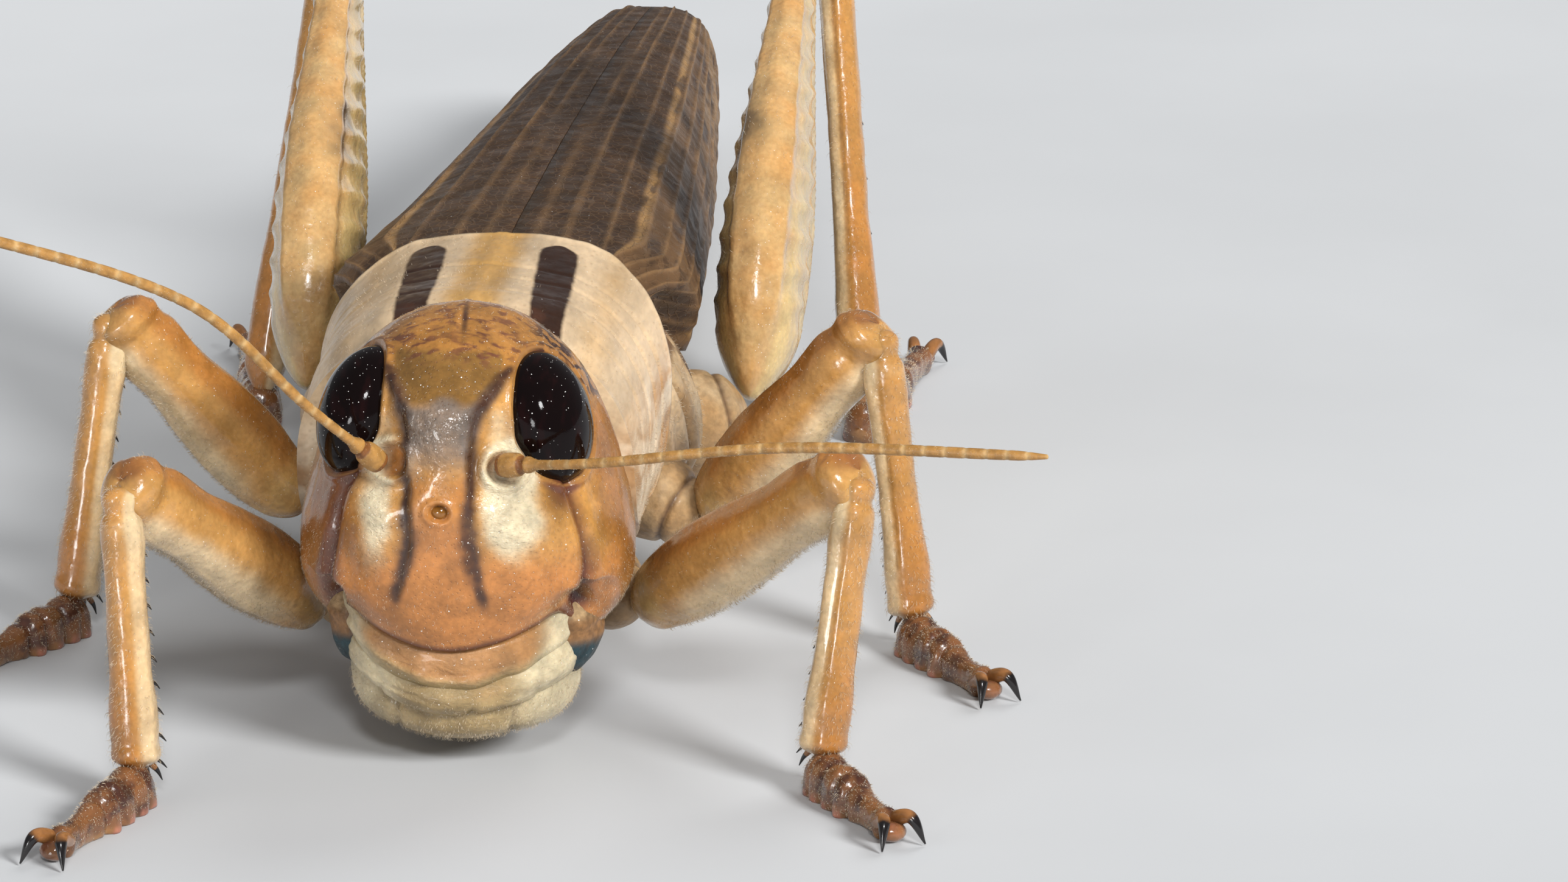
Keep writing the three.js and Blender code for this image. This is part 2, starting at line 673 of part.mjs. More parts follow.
function addClaws(tarsus, leg) {
  const forward = leg.toe.clone().sub(leg.heel).setZ(0).normalize();
  const across = vec(-forward.y, forward.x, 0);
  let result = tarsus;
  for (const turn of [-1, 1]) {
    const root = leg.toe.clone().addScaledVector(forward, -0.3).addScaledVector(across, 0.1 * turn);
    const reach = (share, z) => root.clone()
      .addScaledVector(forward, CLAW_LENGTH * share)
      .addScaledVector(across, 0.55 * turn * share)
      .setZ(z);
    result = result.add(limb({
      path: [root, reach(0.6, 0.55), reach(1, 0.16)],
      side: vec(0, 0, 1),
      wide: [0.26, 0.22, 0.12],
      around: 4,
      steps: 2,
      floor: true,
    }));
  }
  return result;
}

function makeLeg(leg, grownThorax) {
  const shape = legShapes(leg);
  const coxa = limb(shape.coxa).subtract(grownThorax);
  const femur = limb(shape.femur).subtract(limb(shape.coxa, GAP)).subtract(grownThorax);
  const tibia = limb(shape.tibia).subtract(limb(shape.femur, GAP));
  const tarsus = limb(shape.tarsus).subtract(limb(shape.tibia, GAP));
  addNode(`${leg.name}_coxa`, coxa, COLOURS.body);
  addNode(`${leg.name}_femur`, femur, COLOURS.leg);
  addNode(`${leg.name}_tibia`, addSpines(tibia, leg, shape.tibia, shape.spines), COLOURS.leg);
  addNode(`${leg.name}_tarsus`, addClaws(tarsus, leg), COLOURS.tarsus);
}

// ---------------------------------------------------------------- assembly

makeHead();
makeMouth();
makeAntennae();
makePronotum();
addNode('thorax', trunk(thoraxShape), COLOURS.body);
makeAbdomen();
makeAbdomenTip();
makeWings();
const grownThorax = trunk(thoraxShape, GAP);
for (const leg of LEGS) makeLeg(leg, grownThorax);

const bounds = new THREE.Box3().setFromObject(locust);
const centre = bounds.getCenter(new THREE.Vector3());
locust.position.set(-centre.x, -centre.y, -bounds.min.z);

export default locust;
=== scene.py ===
"""The looks of a life-size migratory locust (Locusta migratoria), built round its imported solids.

Shapes are worked out in millimetres in the body's own frame: the locust faces -Y, its left side
is +X, y = 0 is the front ocellus and z = 0 is the floor. mesh_from() moves them into the frame.
"""

import itertools
import json
import math

import bpy
import numpy as np
from mathutils import Matrix, Vector

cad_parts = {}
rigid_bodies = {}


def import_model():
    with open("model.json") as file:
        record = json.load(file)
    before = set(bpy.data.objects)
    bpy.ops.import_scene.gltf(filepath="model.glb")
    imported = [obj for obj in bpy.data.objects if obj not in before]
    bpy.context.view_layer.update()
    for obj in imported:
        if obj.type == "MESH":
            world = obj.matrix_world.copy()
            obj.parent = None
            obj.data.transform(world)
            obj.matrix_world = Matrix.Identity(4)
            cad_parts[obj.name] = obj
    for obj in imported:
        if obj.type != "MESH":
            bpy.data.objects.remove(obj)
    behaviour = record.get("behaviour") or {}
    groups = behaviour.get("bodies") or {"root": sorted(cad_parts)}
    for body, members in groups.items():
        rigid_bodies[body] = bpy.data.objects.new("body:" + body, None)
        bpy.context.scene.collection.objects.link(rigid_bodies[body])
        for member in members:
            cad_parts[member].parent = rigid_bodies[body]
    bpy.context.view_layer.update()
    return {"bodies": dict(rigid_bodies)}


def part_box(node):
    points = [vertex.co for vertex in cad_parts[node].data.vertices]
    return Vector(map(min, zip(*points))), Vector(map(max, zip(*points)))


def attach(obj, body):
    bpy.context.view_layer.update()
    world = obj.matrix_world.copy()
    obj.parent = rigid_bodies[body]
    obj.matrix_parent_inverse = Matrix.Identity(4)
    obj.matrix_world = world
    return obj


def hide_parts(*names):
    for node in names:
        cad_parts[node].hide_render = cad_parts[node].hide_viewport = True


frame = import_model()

BODY = next(iter(frame["bodies"]))
MM = 0.001
SIDES = (("left", 1), ("right", -1))

# ---------------- where the body's frame lies

TEGMEN_TIP = 61.0
left_wing, right_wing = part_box("tegmen_left"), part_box("tegmen_right")
middle_x = (left_wing[1].x + right_wing[0].x) / 2
SHIFT = np.array([middle_x / MM, left_wing[1].y / MM - TEGMEN_TIP, 0.0])
OCELLUS = np.array([0.0, 0.0, 7.1])
ACROSS, UP = np.array([1.0, 0, 0]), np.array([0, 0, 1.0])


def vec(*xyz):
    return np.array(xyz, float)


def xyz(points):
    """The coordinates of points, each as an array of its own."""
    return np.moveaxis(np.asarray(points, float), -1, 0)


def joined(*parts):
    """The reverse of xyz(): points from their coordinates."""
    return np.stack(parts, axis=-1)


def spun(a, b, turn):
    """Turns the pair of coordinates (a, b) by an angle."""
    c, s = math.cos(turn), math.sin(turn)
    return a * c - b * s, b * c + a * s


def unit(v):
    return v / np.maximum(np.linalg.norm(v, axis=-1, keepdims=True), 1e-9)


# ---------------- curves and noise


def smooth(stations, values):
    """Smooth curve through values given at rising stations, flat past its two ends."""
    x, v = np.array(stations, float), np.array(values, float)
    slope = np.empty_like(v)
    slope[1:-1] = ((v[2:] - v[:-2]).T / (x[2:] - x[:-2])).T
    slope[0] = (v[1] - v[0]) / (x[1] - x[0])
    slope[-1] = (v[-1] - v[-2]) / (x[-1] - x[-2])

    def curve(s):
        s = np.clip(np.asarray(s, float), x[0], x[-1])
        i = np.clip(np.searchsorted(x, s, side="right") - 1, 0, len(x) - 2)
        h = x[i + 1] - x[i]
        u = (s - x[i]) / h
        if v.ndim > 1:
            h, u = h[..., None], u[..., None]
        rise = u * u * (3 - 2 * u)
        bend = u * (1 - u) * h * ((1 - u) * slope[i] - u * slope[i + 1])
        return v[i] * (1 - rise) + v[i + 1] * rise + bend

    return curve


def evenly(values):
    """Smooth curve from 0 to 1 through evenly spaced values."""
    return smooth(np.linspace(0, 1, len(values)), values)


def ramp(s, low, high):
    """Rises smoothly from 0 at low to 1 at high."""
    u = np.clip((s - low) / (high - low), 0, 1)
    return u * u * (3 - 2 * u)


def fall(s, low, high):
    """Falls smoothly from 1 at low to 0 at high."""
    return 1 - ramp(s, low, high)


def hump(s, middle, width):
    """1 at the middle, and falling away on both sides of it."""
    return np.exp(-(((s - middle) / width) ** 2))


def rounded(value, squareness):
    """Bends a sine or cosine: 2 keeps an ellipse, and more makes it squarer."""
    return np.sign(value) * np.abs(value) ** (2 / squareness)


def corner_value(ix, iy, iz, seed):
    """A fixed number from 0 to 1 for each corner of a cubic lattice, scrambled by large odd numbers."""
    n = ix * 73856093 ^ iy * 19349663 ^ iz * 83492791 ^ seed * 9781
    n = ((n ^ (n >> 13)) * 1274126177) & 0x7FFFFFFF
    n = ((n ^ (n >> 15)) * 668265263) & 0x7FFFFFFF
    return (n & 0xFFFFF) / 0xFFFFF


def noise(points, scale, seed=0):
    """Smooth noise from -1 to 1, with about scale bumps per millimetre."""
    p = np.asarray(points) * scale
    cell = np.floor(p).astype(np.int64)
    f = p - cell
    f = f * f * (3 - 2 * f)
    total = 0
    for corner in itertools.product((0, 1), repeat=3):
        share = 1.0
        for axis, far in enumerate(corner):
            share = share * (f[..., axis] if far else 1 - f[..., axis])
        at = np.moveaxis(cell + corner, -1, 0)
        total = total + share * corner_value(*at, seed)
    return 2 * total - 1


def rough_noise(points, scale, octaves=3, seed=0):
    total, size, reach = 0, 1.0, 0.0
    for k in range(octaves):
        total = total + size * noise(points, scale * 2**k, seed + k)
        reach += size
        size *= 0.5
    return total / reach


def to_line(h, v, points):
    """Distance from each (h, v) to a smooth line through points."""
    points = np.array(points, float)
    dense = smooth(np.arange(len(points)), points)(np.linspace(0, len(points) - 1, 24))
    best = np.full(np.shape(h), 1e9)
    for a, b in zip(dense, dense[1:]):
        d = b - a
        t = np.clip(((h - a[0]) * d[0] + (v - a[1]) * d[1]) / (d @ d + 1e-12), 0, 1)
        best = np.minimum(best, np.hypot(h - a[0] - t * d[0], v - a[1] - t * d[1]))
    return best


def stroke(h, v, points, width):
    """A soft line through points."""
    return hump(to_line(h, v, points), 0, width)


def spot(h, v, centre, half, edge):
    """1 inside an ellipse, falling to 0 over a share of its size outside."""
    q = np.hypot((h - centre[0]) / half[0], (v - centre[1]) / half[1])
    return 1 - ramp(q, 1 - edge, 1 + edge)


def all_spots(h, v, table):
    """The sum of spots, each given by its strength, centre, half sizes and edge."""
    return sum(strength * spot(h, v, *where) for strength, *where in table)


# ---------------- patches of surface


class Patch:
    """A grid of points (rows, columns, 3), which may close round its columns, with masks."""

    def __init__(self, points, closed=True, start=True, end=True):
        self.points = np.array(points, float)
        self.closed, self.start, self.end = closed, start, end
        self.masks = {}

    @property
    def shape(self):
        return self.points.shape[:2]

    def normals(self):
        p = self.points
        if self.closed:
            across = np.roll(p, -1, axis=1) - np.roll(p, 1, axis=1)
        else:
            across = np.gradient(p, axis=1)
        along = np.gradient(p, axis=0)
        n = unit(np.cross(along, across))
        return n * self.outward(n)

    def outward(self, n):
        """1 or -1, so that the normals point away from the middle of the rows."""
        away = self.points - self.points.mean(axis=1, keepdims=True)
        return 1.0 if (n * away).sum() > 0 else -1.0

    def swell(self, height):
        self.points = self.points + self.normals() * np.asarray(height)[..., None]
        return self

    def moved(self, move):
        self.points = move(self.points)
        return self

    def on_floor(self):
        """Flattens what would go below the floor."""
        self.points[..., 2] = np.maximum(self.points[..., 2], 0)
        return self

    def paint(self, **masks):
        for name, values in masks.items():
            self.masks[name] = np.clip(np.broadcast_to(values, self.shape), 0, 1)
        return self

    def faces(self):
        rows, cols = self.shape
        ids = np.arange(rows * cols).reshape(rows, cols)
        if self.closed:
            ids = np.concatenate([ids, ids[:, :1]], axis=1)
        quads = joined(ids[:-1, :-1], ids[:-1, 1:], ids[1:, 1:], ids[1:, :-1])
        ends = []
        middle = rows * cols
        if self.start:
            ends.append(joined(ids[0, 1:], ids[0, :-1], np.full(ids.shape[1] - 1, middle)))
            middle += 1
        if self.end:
            ends.append(joined(ids[-1, :-1], ids[-1, 1:], np.full(ids.shape[1] - 1, middle)))
        tris = np.concatenate(ends) if ends else np.zeros((0, 3), int)
        return quads.reshape(-1, 4), tris

    def corners(self):
        """Every point, with the middles of the two end faces last."""
        extra = [self.points[0].mean(0)] * self.start + [self.points[-1].mean(0)] * self.end
        return np.concatenate([self.points.reshape(-1, 3), np.array(extra).reshape(-1, 3)])

    def mask_values(self, name):
        grid = self.masks.get(name, np.zeros(self.shape))
        extra = [grid[0].mean()] * self.start + [grid[-1].mean()] * self.end
        return np.concatenate([grid.ravel(), extra])


def mesh_from(name, points, quads, tris):
    """A smooth-shaded mesh from points in millimetres in the body's frame."""
    mesh = bpy.data.meshes.new(name)
    count = len(quads) * 4 + len(tris) * 3
    mesh.vertices.add(len(points))
    mesh.loops.add(count)
    mesh.polygons.add(len(quads) + len(tris))
    mesh.vertices.foreach_set("co", ((points + SHIFT) * MM).astype(np.float32).ravel())
    mesh.loops.foreach_set("vertex_index", np.concatenate([quads.ravel(), tris.ravel()]).astype(np.int32))
    starts = np.concatenate([np.arange(len(quads)) * 4, len(quads) * 4 + np.arange(len(tris)) * 3])
    mesh.polygons.foreach_set("loop_start", starts.astype(np.int32))
    mesh.polygons.foreach_set("use_smooth", np.ones(len(starts), bool))
    mesh.update(calc_edges=True)
    mesh.validate()
    return mesh


def add_piece(name, mesh, finish, replaced=()):
    piece = bpy.data.objects.new(name, mesh)
    bpy.context.scene.collection.objects.link(piece)
    mesh.materials.append(finish)
    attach(piece, BODY)
    if replaced:
        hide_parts(*replaced)
    return piece


def outward_faces(patch, quads, tris):
    """Turns the faces over if they point inwards."""
    p = patch.corners()
    q = p[quads]
    n = np.cross(q[:, 2] - q[:, 0], q[:, 3] - q[:, 1])
    volume = (n * q.mean(axis=1)).sum()
    if len(tris):
        t = p[tris]
        volume += (np.cross(t[:, 1] - t[:, 0], t[:, 2] - t[:, 0]) * t.mean(axis=1)).sum()
    return (quads, tris) if volume > 0 else (quads[:, ::-1], tris[:, ::-1])


def build(name, patches, finish, replaced=()):
    """One piece from one or more closed patches."""
    points, all_quads, all_tris, first = [], [], [], 0
    for patch in patches:
        quads, tris = outward_faces(patch, *patch.faces())
        all_quads.append(quads + first)
        all_tris.append(tris + first)
        points.append(patch.corners())
        first += len(points[-1])
    mesh = mesh_from(name, np.concatenate(points), np.concatenate(all_quads), np.concatenate(all_tris))
    for mask in sorted({m for patch in patches for m in patch.masks}):
        values = np.concatenate([patch.mask_values(mask) for patch in patches])
        layer = mesh.attributes.new(mask, "FLOAT", "POINT")
        layer.data.foreach_set("value", values.astype(np.float32))
    return add_piece(name, mesh, finish, replaced)


# ---------------- finishes


EVEN = (1, 1, 1)  # a texture that isn't stretched
DUST = (0.85, 0.84, 0.8)


class Finish:
    """Builds one material as layers of colour over each other, each with its own mask."""

    def __init__(self, name, colour, rough=0.4, subsurface=0.0, coat=0.0, specular=0.5):
        self.material = bpy.data.materials.new(name)
        self.material.use_nodes = True
        self.tree = self.material.node_tree
        self.shader = self.tree.nodes["Principled BSDF"]
        self.place = self.node("ShaderNodeTexCoord").outputs["Object"]
        self.colour = (*colour, 1)
        self.rough = rough
        self.height = None
        self.set("Specular IOR Level", specular)
        self.set("Coat Weight", coat)
        self.set("Coat Roughness", 0.08)
        if subsurface:
            self.set("Subsurface Weight", subsurface)
            self.set("Subsurface Scale", 0.0006)
            self.set("Subsurface Radius", (1.0, 0.5, 0.25))

    def set(self, socket, value):
        self.shader.inputs[socket].default_value = value

    def node(self, kind, **settings):
        made = self.tree.nodes.new(kind)
        for key, value in settings.items():
            setattr(made, key, value)
        return made

    def feed(self, socket, value):
        if isinstance(value, bpy.types.NodeSocket):
            self.tree.links.new(value, socket)
        else:
            socket.default_value = value

    def mask(self, name):
        return self.node("ShaderNodeAttribute", attribute_name=name).outputs["Fac"]

    def calc(self, operation, a, b):
        made = self.node("ShaderNodeMath", operation=operation)
        self.feed(made.inputs[0], a)
        self.feed(made.inputs[1], b)
        return made.outputs[0]

    def times(self, a, b):
        return self.calc("MULTIPLY", a, b)

    def outside(self, a):
        """1 where a is 0 and 0 where it is 1."""
        return self.calc("SUBTRACT", 1.0, a)

    def window(self, value, low, high, to_low=0.0, to_high=1.0):
        made = self.node("ShaderNodeMapRange", interpolation_type="SMOOTHSTEP")
        for socket, number in zip(made.inputs[:5], (value, low, high, to_low, to_high)):
            self.feed(socket, number)
        return made.outputs[0]

    def stretched(self, stretch):
        made = self.node("ShaderNodeMapping")
        self.feed(made.inputs["Vector"], self.place)
        made.inputs["Scale"].default_value = stretch
        return made.outputs[0]

    def grain(self, per_mm, detail=3.0, stretch=EVEN, twist=0.0):
        made = self.node("ShaderNodeTexNoise")
        self.feed(made.inputs["Vector"], self.stretched(stretch))
        made.inputs["Scale"].default_value = per_mm / MM
        made.inputs["Detail"].default_value = detail
        made.inputs["Distortion"].default_value = twist
        return made.outputs["Fac"]

    def cells(self, per_mm, feature="F1", stretch=EVEN):
        made = self.node("ShaderNodeTexVoronoi", feature=feature)
        self.feed(made.inputs["Vector"], self.stretched(stretch))
        made.inputs["Scale"].default_value = per_mm / MM
        return made.outputs

    def mix(self, amount, over, **settings):
        """Mixes the colour so far with another one."""
        made = self.node("ShaderNodeMix", data_type="RGBA", **settings)
        for socket, value in ((0, amount), (6, self.colour), (7, over)):
            self.feed(made.inputs[socket], value)
        self.colour = made.outputs[2]

    def layer(self, colour, amount):
        """Lays a colour over what is there, by amount from 0 to 1."""
        self.mix(amount, (*colour, 1))

    def marks(self, mask, colour, per_mm, amount, low=0.35, high=0.65, stretch=EVEN):
        """Lays a colour where a mask of the mesh is, its edge broken up by noise."""
        rough = self.times(self.calc("SUBTRACT", self.grain(per_mm, 4, stretch), 0.5), amount)
        self.layer(colour, self.window(self.calc("ADD", self.mask(mask), rough), low, high))

    def blots(self, mask, colour, low, high, *grain):
        """Lays a colour in blots of noise where a mask of the mesh is."""
        self.layer(colour, self.times(self.mask(mask), self.window(self.grain(*grain), low, high)))

    def shade(self, per_mm, depth, stretch=EVEN):
        """Makes the colour a little darker and lighter from place to place."""
        tone = self.window(self.grain(per_mm, 4, stretch), 0.3, 0.7, 1 - depth, 1 + 0.3 * depth)
        self.mix(1.0, tone, blend_type="MULTIPLY")

    def specks(self, per_mm, size, share):
        """Scattered pale grains of dust."""
        found = self.cells(per_mm)
        near = self.window(found["Distance"], size, size * 0.6)
        chosen = self.node("ShaderNodeSeparateColor")
        self.feed(chosen.inputs[0], found["Color"])
        kept = self.calc("LESS_THAN", chosen.outputs[0], share)
        self.layer(DUST, self.times(self.times(near, kept), 0.9))

    def relief(self, height, depth_mm):
        """Adds a bump of that depth on top of those already there."""
        made = self.node("ShaderNodeBump")
        made.inputs["Distance"].default_value = depth_mm * MM
        made.inputs["Strength"].default_value = 1.0
        self.feed(made.inputs["Height"], height)
        if self.height is not None:
            self.feed(made.inputs["Normal"], self.height)
        self.height = made.outputs[0]

    def uneven_gloss(self, per_mm, least, most):
        self.rough = self.window(self.grain(per_mm), 0.3, 0.7, least, most)

    def done(self):
        self.feed(self.shader.inputs["Base Color"], self.colour)
        self.feed(self.shader.inputs["Roughness"], self.rough)
        if self.height is not None:
            self.feed(self.shader.inputs["Normal"], self.height)
        return self.material


# Colours as linear red, green and blue.
TAN = (0.50, 0.245, 0.062)
ORANGE = (0.48, 0.19, 0.049)
CREAM = (0.70, 0.59, 0.395)
OLIVE = (0.225, 0.112, 0.026)
OCHRE = (0.37, 0.165, 0.036)
BLACK = (0.012, 0.007, 0.006)
GREY = (0.185, 0.145, 0.118)


def face_finish():
    f = Finish("face", TAN, subsurface=0.15, coat=0.5)
    # Brown sides of the head, with painted shade over the left of the face
    f.marks("gena", (0.30, 0.12, 0.025), 0.9, 0.9, 0.2, 1.1)
    f.marks("warm", ORANGE, 1.2, 0.5, 0.1, 1.0)
    f.marks("cream", CREAM, 1.5, 0.9, 0.1, 1.05)
    f.marks("crown", OCHRE, 1.5, 0.3, 0.2, 0.9)
    f.marks("olive", OLIVE, 1.5, 0.3, 0.15, 0.9)
    f.marks("grey", GREY, 2.5, 0.35, 0.1, 1.05)
    f.blots("mottle", (0.14, 0.05, 0.026), 0.48, 0.63, 3.4, 4, (0.7, 1.3, 1.3), 0.5)
    f.blots("blotch", (0.045, 0.016, 0.009), 0.46, 0.54, 2.6, 3, EVEN, 0.5)
    # Painted shade beside the furrows, round the sockets and eyes, over the left of the face and low at the
    # back of the head
    f.marks("dusk", (0.15, 0.05, 0.022), 2.0, 0.3, 0.2, 1.0)
    f.marks("dark", (0.055, 0.022, 0.012), 4.0, 0.8, 0.1, 1.1)
    # Dark lines along the furrows, and painted shade in the ocellus pit, at the mouth corners, round the
    # eyes and under the face
    f.layer((0.07, 0.012, 0.008), f.mask("seam"))
    f.shade(1.3, 0.28)
    f.shade(8.0, 0.16)
    pores = f.window(f.cells(9.0)["Distance"], 0.08, 0.3)
    dots = f.times(f.outside(pores), f.window(f.mask("olive"), 0, 1, 0.14, 0.5))
    f.layer((0.12, 0.05, 0.018), dots)
    f.layer((0.30, 0.14, 0.045), f.mask("rim"))
    f.specks(4.0, 0.09, 0.35)
    f.specks(9.0, 0.12, 0.35)
    f.relief(pores, 0.008)
    f.relief(f.grain(12.0, 4), 0.009)
    wrinkle = f.grain(7.0, 2, (0.7, 1, 1.5), 0.8)
    f.relief(f.times(wrinkle, f.mask("cream")), 0.05)
    f.relief(f.times(f.grain(5.0, 2), f.mask("grey")), 0.09)
    wet = f.calc("ADD", f.mask("wet"), f.times(f.grain(6.0), 0.3))
    f.rough = f.window(wet, 0, 1.1, 0.42, 0.13)
    return f.done()


def eye_finish():
    f = Finish("eye", (0.004, 0.002, 0.002), rough=0.07, specular=0.18)
    streaks = f.window(f.grain(1.6, 4, (2.2, 1, 0.7)), 0.5, 0.75)
    f.layer((0.010, 0.003, 0.003), streaks)
    f.layer((0.045, 0.010, 0.006), f.mask("rim"))
    f.specks(3.5, 0.065, 0.5)
    f.specks(6.0, 0.085, 0.55)
    f.specks(11.0, 0.12, 0.5)
    f.relief(f.cells(30.0)["Distance"], 0.0004)
    return f.done()


def bead_finish():
    f = Finish("ocellus", (0.22, 0.085, 0.008), rough=0.06, coat=1.0)
    f.shade(4.0, 0.5)
    return f.done()


def antenna_finish():
    f = Finish("antenna", (0.36, 0.185, 0.05), rough=0.4, subsurface=0.1)
    f.layer((0.46, 0.29, 0.12), f.mask("joint"))
    f.marks("base_ring", (0.20, 0.075, 0.02), 4.0, 0.3)
    f.shade(5.0, 0.3)
    f.relief(f.grain(16.0, 3), 0.012)
    return f.done()


def mouth_finish():
    # The mouth's browns are darkened as painted shade under the edge of the face
    f = Finish("mouth", (0.34, 0.24, 0.11), subsurface=0.2, coat=0.2)
    f.marks("pale", (0.57, 0.48, 0.31), 1.2, 0.5, 0.1, 1.0)
    f.marks("warm", (0.40, 0.20, 0.075), 1.2, 0.6, 0.1, 1.0)
    # Painted shade in the notch and grooves of the lips, and dark rings at the palps' joints
    f.marks("seam", (0.13, 0.06, 0.028), 2.0, 0.1, 0.0, 1.0)
    f.shade(1.2, 0.3)
    f.shade(9.0, 0.12)
    f.specks(5.0, 0.11, 0.2)
    f.specks(12.0, 0.15, 0.2)
    f.relief(f.grain(3.0, 4, (1, 1, 1.6), 0.5), 0.05)
    f.relief(f.grain(16.0, 3), 0.012)
    f.uneven_gloss(3.0, 0.3, 0.5)
    return f.done()


def jaw_finish():
    f = Finish("jaw", (0.26, 0.13, 0.05), rough=0.48)
    f.marks("upper", (0.40, 0.27, 0.14), 1.5, 0.8, 0.2, 1.0)
    f.marks("blue", (0.014, 0.040, 0.050), 1.5, 0.9, 0.2, 0.9)
    f.marks("dark", BLACK, 2.0, 0.5, 0.1, 1.0)
    f.shade(1.5, 0.4)
    f.shade(6.0, 0.25)
    f.specks(7.0, 0.13, 0.12)
    f.relief(f.grain(3.5, 5), 0.09)
    return f.done()


def pronotum_finish():
    f = Finish("pronotum", (0.56, 0.41, 0.255), subsurface=0.08, coat=0.05, specular=0.25)
    f.marks("ochre", (0.48, 0.27, 0.085), 0.9, 0.5, 0.1, 1.0)
    f.marks("side", (0.65, 0.52, 0.37), 0.6, 0.7, 0.2, 1.0)
    f.marks("hem", (0.42, 0.25, 0.12), 0.7, 1.3, 0.25, 1.1)
    clouds = f.window(f.grain(0.7, 4, (1, 0.6, 1), 0.6), 0.46, 0.68)
    f.layer((0.36, 0.19, 0.075), f.times(f.times(f.mask("side"), clouds), 0.9))
    f.marks("band", (0.030, 0.012, 0.006), 1.6, 0.45, 0.25, 0.7)
    f.marks("seam", (0.20, 0.07, 0.035), 3.0, 0.3, 0.2, 1.1)
    f.shade(1.2, 0.22, (1, 0.25, 1))
    f.shade(7.0, 0.1, (1, 0.33, 1))
    f.specks(4.0, 0.08, 0.2)
    pits = f.window(f.cells(5.0, stretch=(1, 0.5, 1))["Distance"], 0.08, 0.3)
    pitted = f.times(f.outside(pits), 0.22)
    f.layer((0.26, 0.15, 0.07), f.times(pitted, f.outside(f.mask("band"))))
    f.relief(pits, 0.005)
    f.relief(f.grain(6.0, 3, (1, 0.33, 1)), 0.008)
    f.uneven_gloss(3.0, 0.3, 0.46)
    return f.done()


def body_finish():
    f = Finish("body", (0.34, 0.20, 0.085), subsurface=0.08, coat=0.15)
    f.marks("belly", (0.46, 0.32, 0.15), 0.8, 0.5, 0.2, 0.9)
    f.marks("pale", (0.52, 0.38, 0.22), 0.7, 1.5, 0.3, 1.1)
    f.marks("back", (0.16, 0.085, 0.04), 1.2, 0.8, 0.35, 0.75)
    f.marks("dark", (0.06, 0.032, 0.02), 1.2, 0.9, 0.3, 0.8)
    f.marks("seam", (0.085, 0.04, 0.02), 2.0, 0.4, 0.1, 1.1)
    f.shade(0.8, 0.3)
    f.shade(6.0, 0.2)
    f.relief(f.grain(4.0, 5), 0.05)
    f.uneven_gloss(2.0, 0.34, 0.5)
    return f.done()


def tegmen_finish():
    f = Finish("tegmen", (0.105, 0.056, 0.025), subsurface=0.05, specular=0.25)
    f.marks("back", (0.050, 0.026, 0.013), 0.5, 0.5, 0.3, 0.8, (1, 0.2, 1))
    f.marks("pale", (0.26, 0.165, 0.085), 0.4, 0.8, 0.3, 1.1, (1, 0.3, 1))
    f.marks("streak", (0.36, 0.205, 0.075), 0.8, 0.6, 0.3, 0.9, (1, 0.15, 1))
    f.blots("spots", (0.04, 0.02, 0.011), 0.50, 0.60, 0.36, 3, (1, 0.6, 1), 0.8)
    dashes = f.window(f.grain(1.1, 3, (1.6, 0.22, 1.6)), 0.54, 0.64)
    f.layer((0.035, 0.018, 0.01), f.times(dashes, 0.75))
    net = f.window(f.cells(4.2, "DISTANCE_TO_EDGE", (1, 0.6, 1))["Distance"], 0.02, 0.1)
    ridges = f.outside(net)
    f.layer((0.14, 0.08, 0.038), f.times(ridges, 0.4))
    f.layer((0.22, 0.125, 0.055), f.times(f.mask("vein"), 0.7))
    f.shade(1.2, 0.3, (1, 0.4, 1))
    f.specks(3.0, 0.06, 0.2)
    f.relief(ridges, 0.012)
    f.relief(f.grain(8.0, 4), 0.010)
    f.uneven_gloss(1.5, 0.42, 0.62)
    return f.done()


def hindwing_finish():
    f = Finish("hindwing", (0.42, 0.34, 0.19), rough=0.4, subsurface=0.1)
    f.layer((0.16, 0.10, 0.05), f.mask("vein"))
    f.shade(1.5, 0.25)
    net = f.window(f.cells(1.6, "DISTANCE_TO_EDGE", (1, 0.6, 1))["Distance"], 0.03, 0.09)
    f.layer((0.2, 0.13, 0.07), f.times(f.outside(net), 0.5))
    f.relief(net, 0.03)
    return f.done()


def leg_finish():
    f = Finish("leg", (0.50, 0.258, 0.076), subsurface=0.14, coat=0.7)
    f.marks("pale", (0.64, 0.48, 0.28), 1.0, 0.6, 0.1, 1.0)
    f.marks("red", (0.38, 0.155, 0.034), 1.2, 0.5, 0.15, 0.9)
    f.marks("yellow", (0.56, 0.40, 0.16), 1.0, 0.6, 0.2, 1.0)
    # The feet's own dark reddish brown, made darker still as painted shade where they sit low in shadow
    f.marks("foot", (0.20, 0.082, 0.030), 2.0, 0.5, 0.2, 0.9)
    f.blots("foot", (0.055, 0.018, 0.011), 0.45, 0.64, 1.6, 4)
    f.marks("pad", (0.38, 0.14, 0.085), 2.0, 0.4, 0.2, 0.9)
    f.marks("knee", (0.15, 0.05, 0.022), 2.0, 0.7, 0.2, 1.1)
    f.marks("dark", (0.045, 0.02, 0.012), 1.0, 0.9, 0.3, 0.8)
    f.shade(1.2, 0.22)
    f.shade(8.0, 0.12)
    f.specks(5.0, 0.08, 0.3)
    f.specks(11.0, 0.13, 0.3)
    f.relief(f.grain(1.8, 2), 0.07)
    f.relief(f.grain(8.0, 3), 0.012)
    f.uneven_gloss(2.5, 0.16, 0.34)
    f.set("Coat Roughness", 0.12)
    return f.done()


def claw_finish():
    f = Finish("claw", (0.26, 0.11, 0.035), rough=0.22, coat=0.5)
    f.marks("tip", (0.007, 0.005, 0.005), 3.0, 0.3)
    f.shade(4.0, 0.3)
    return f.done()


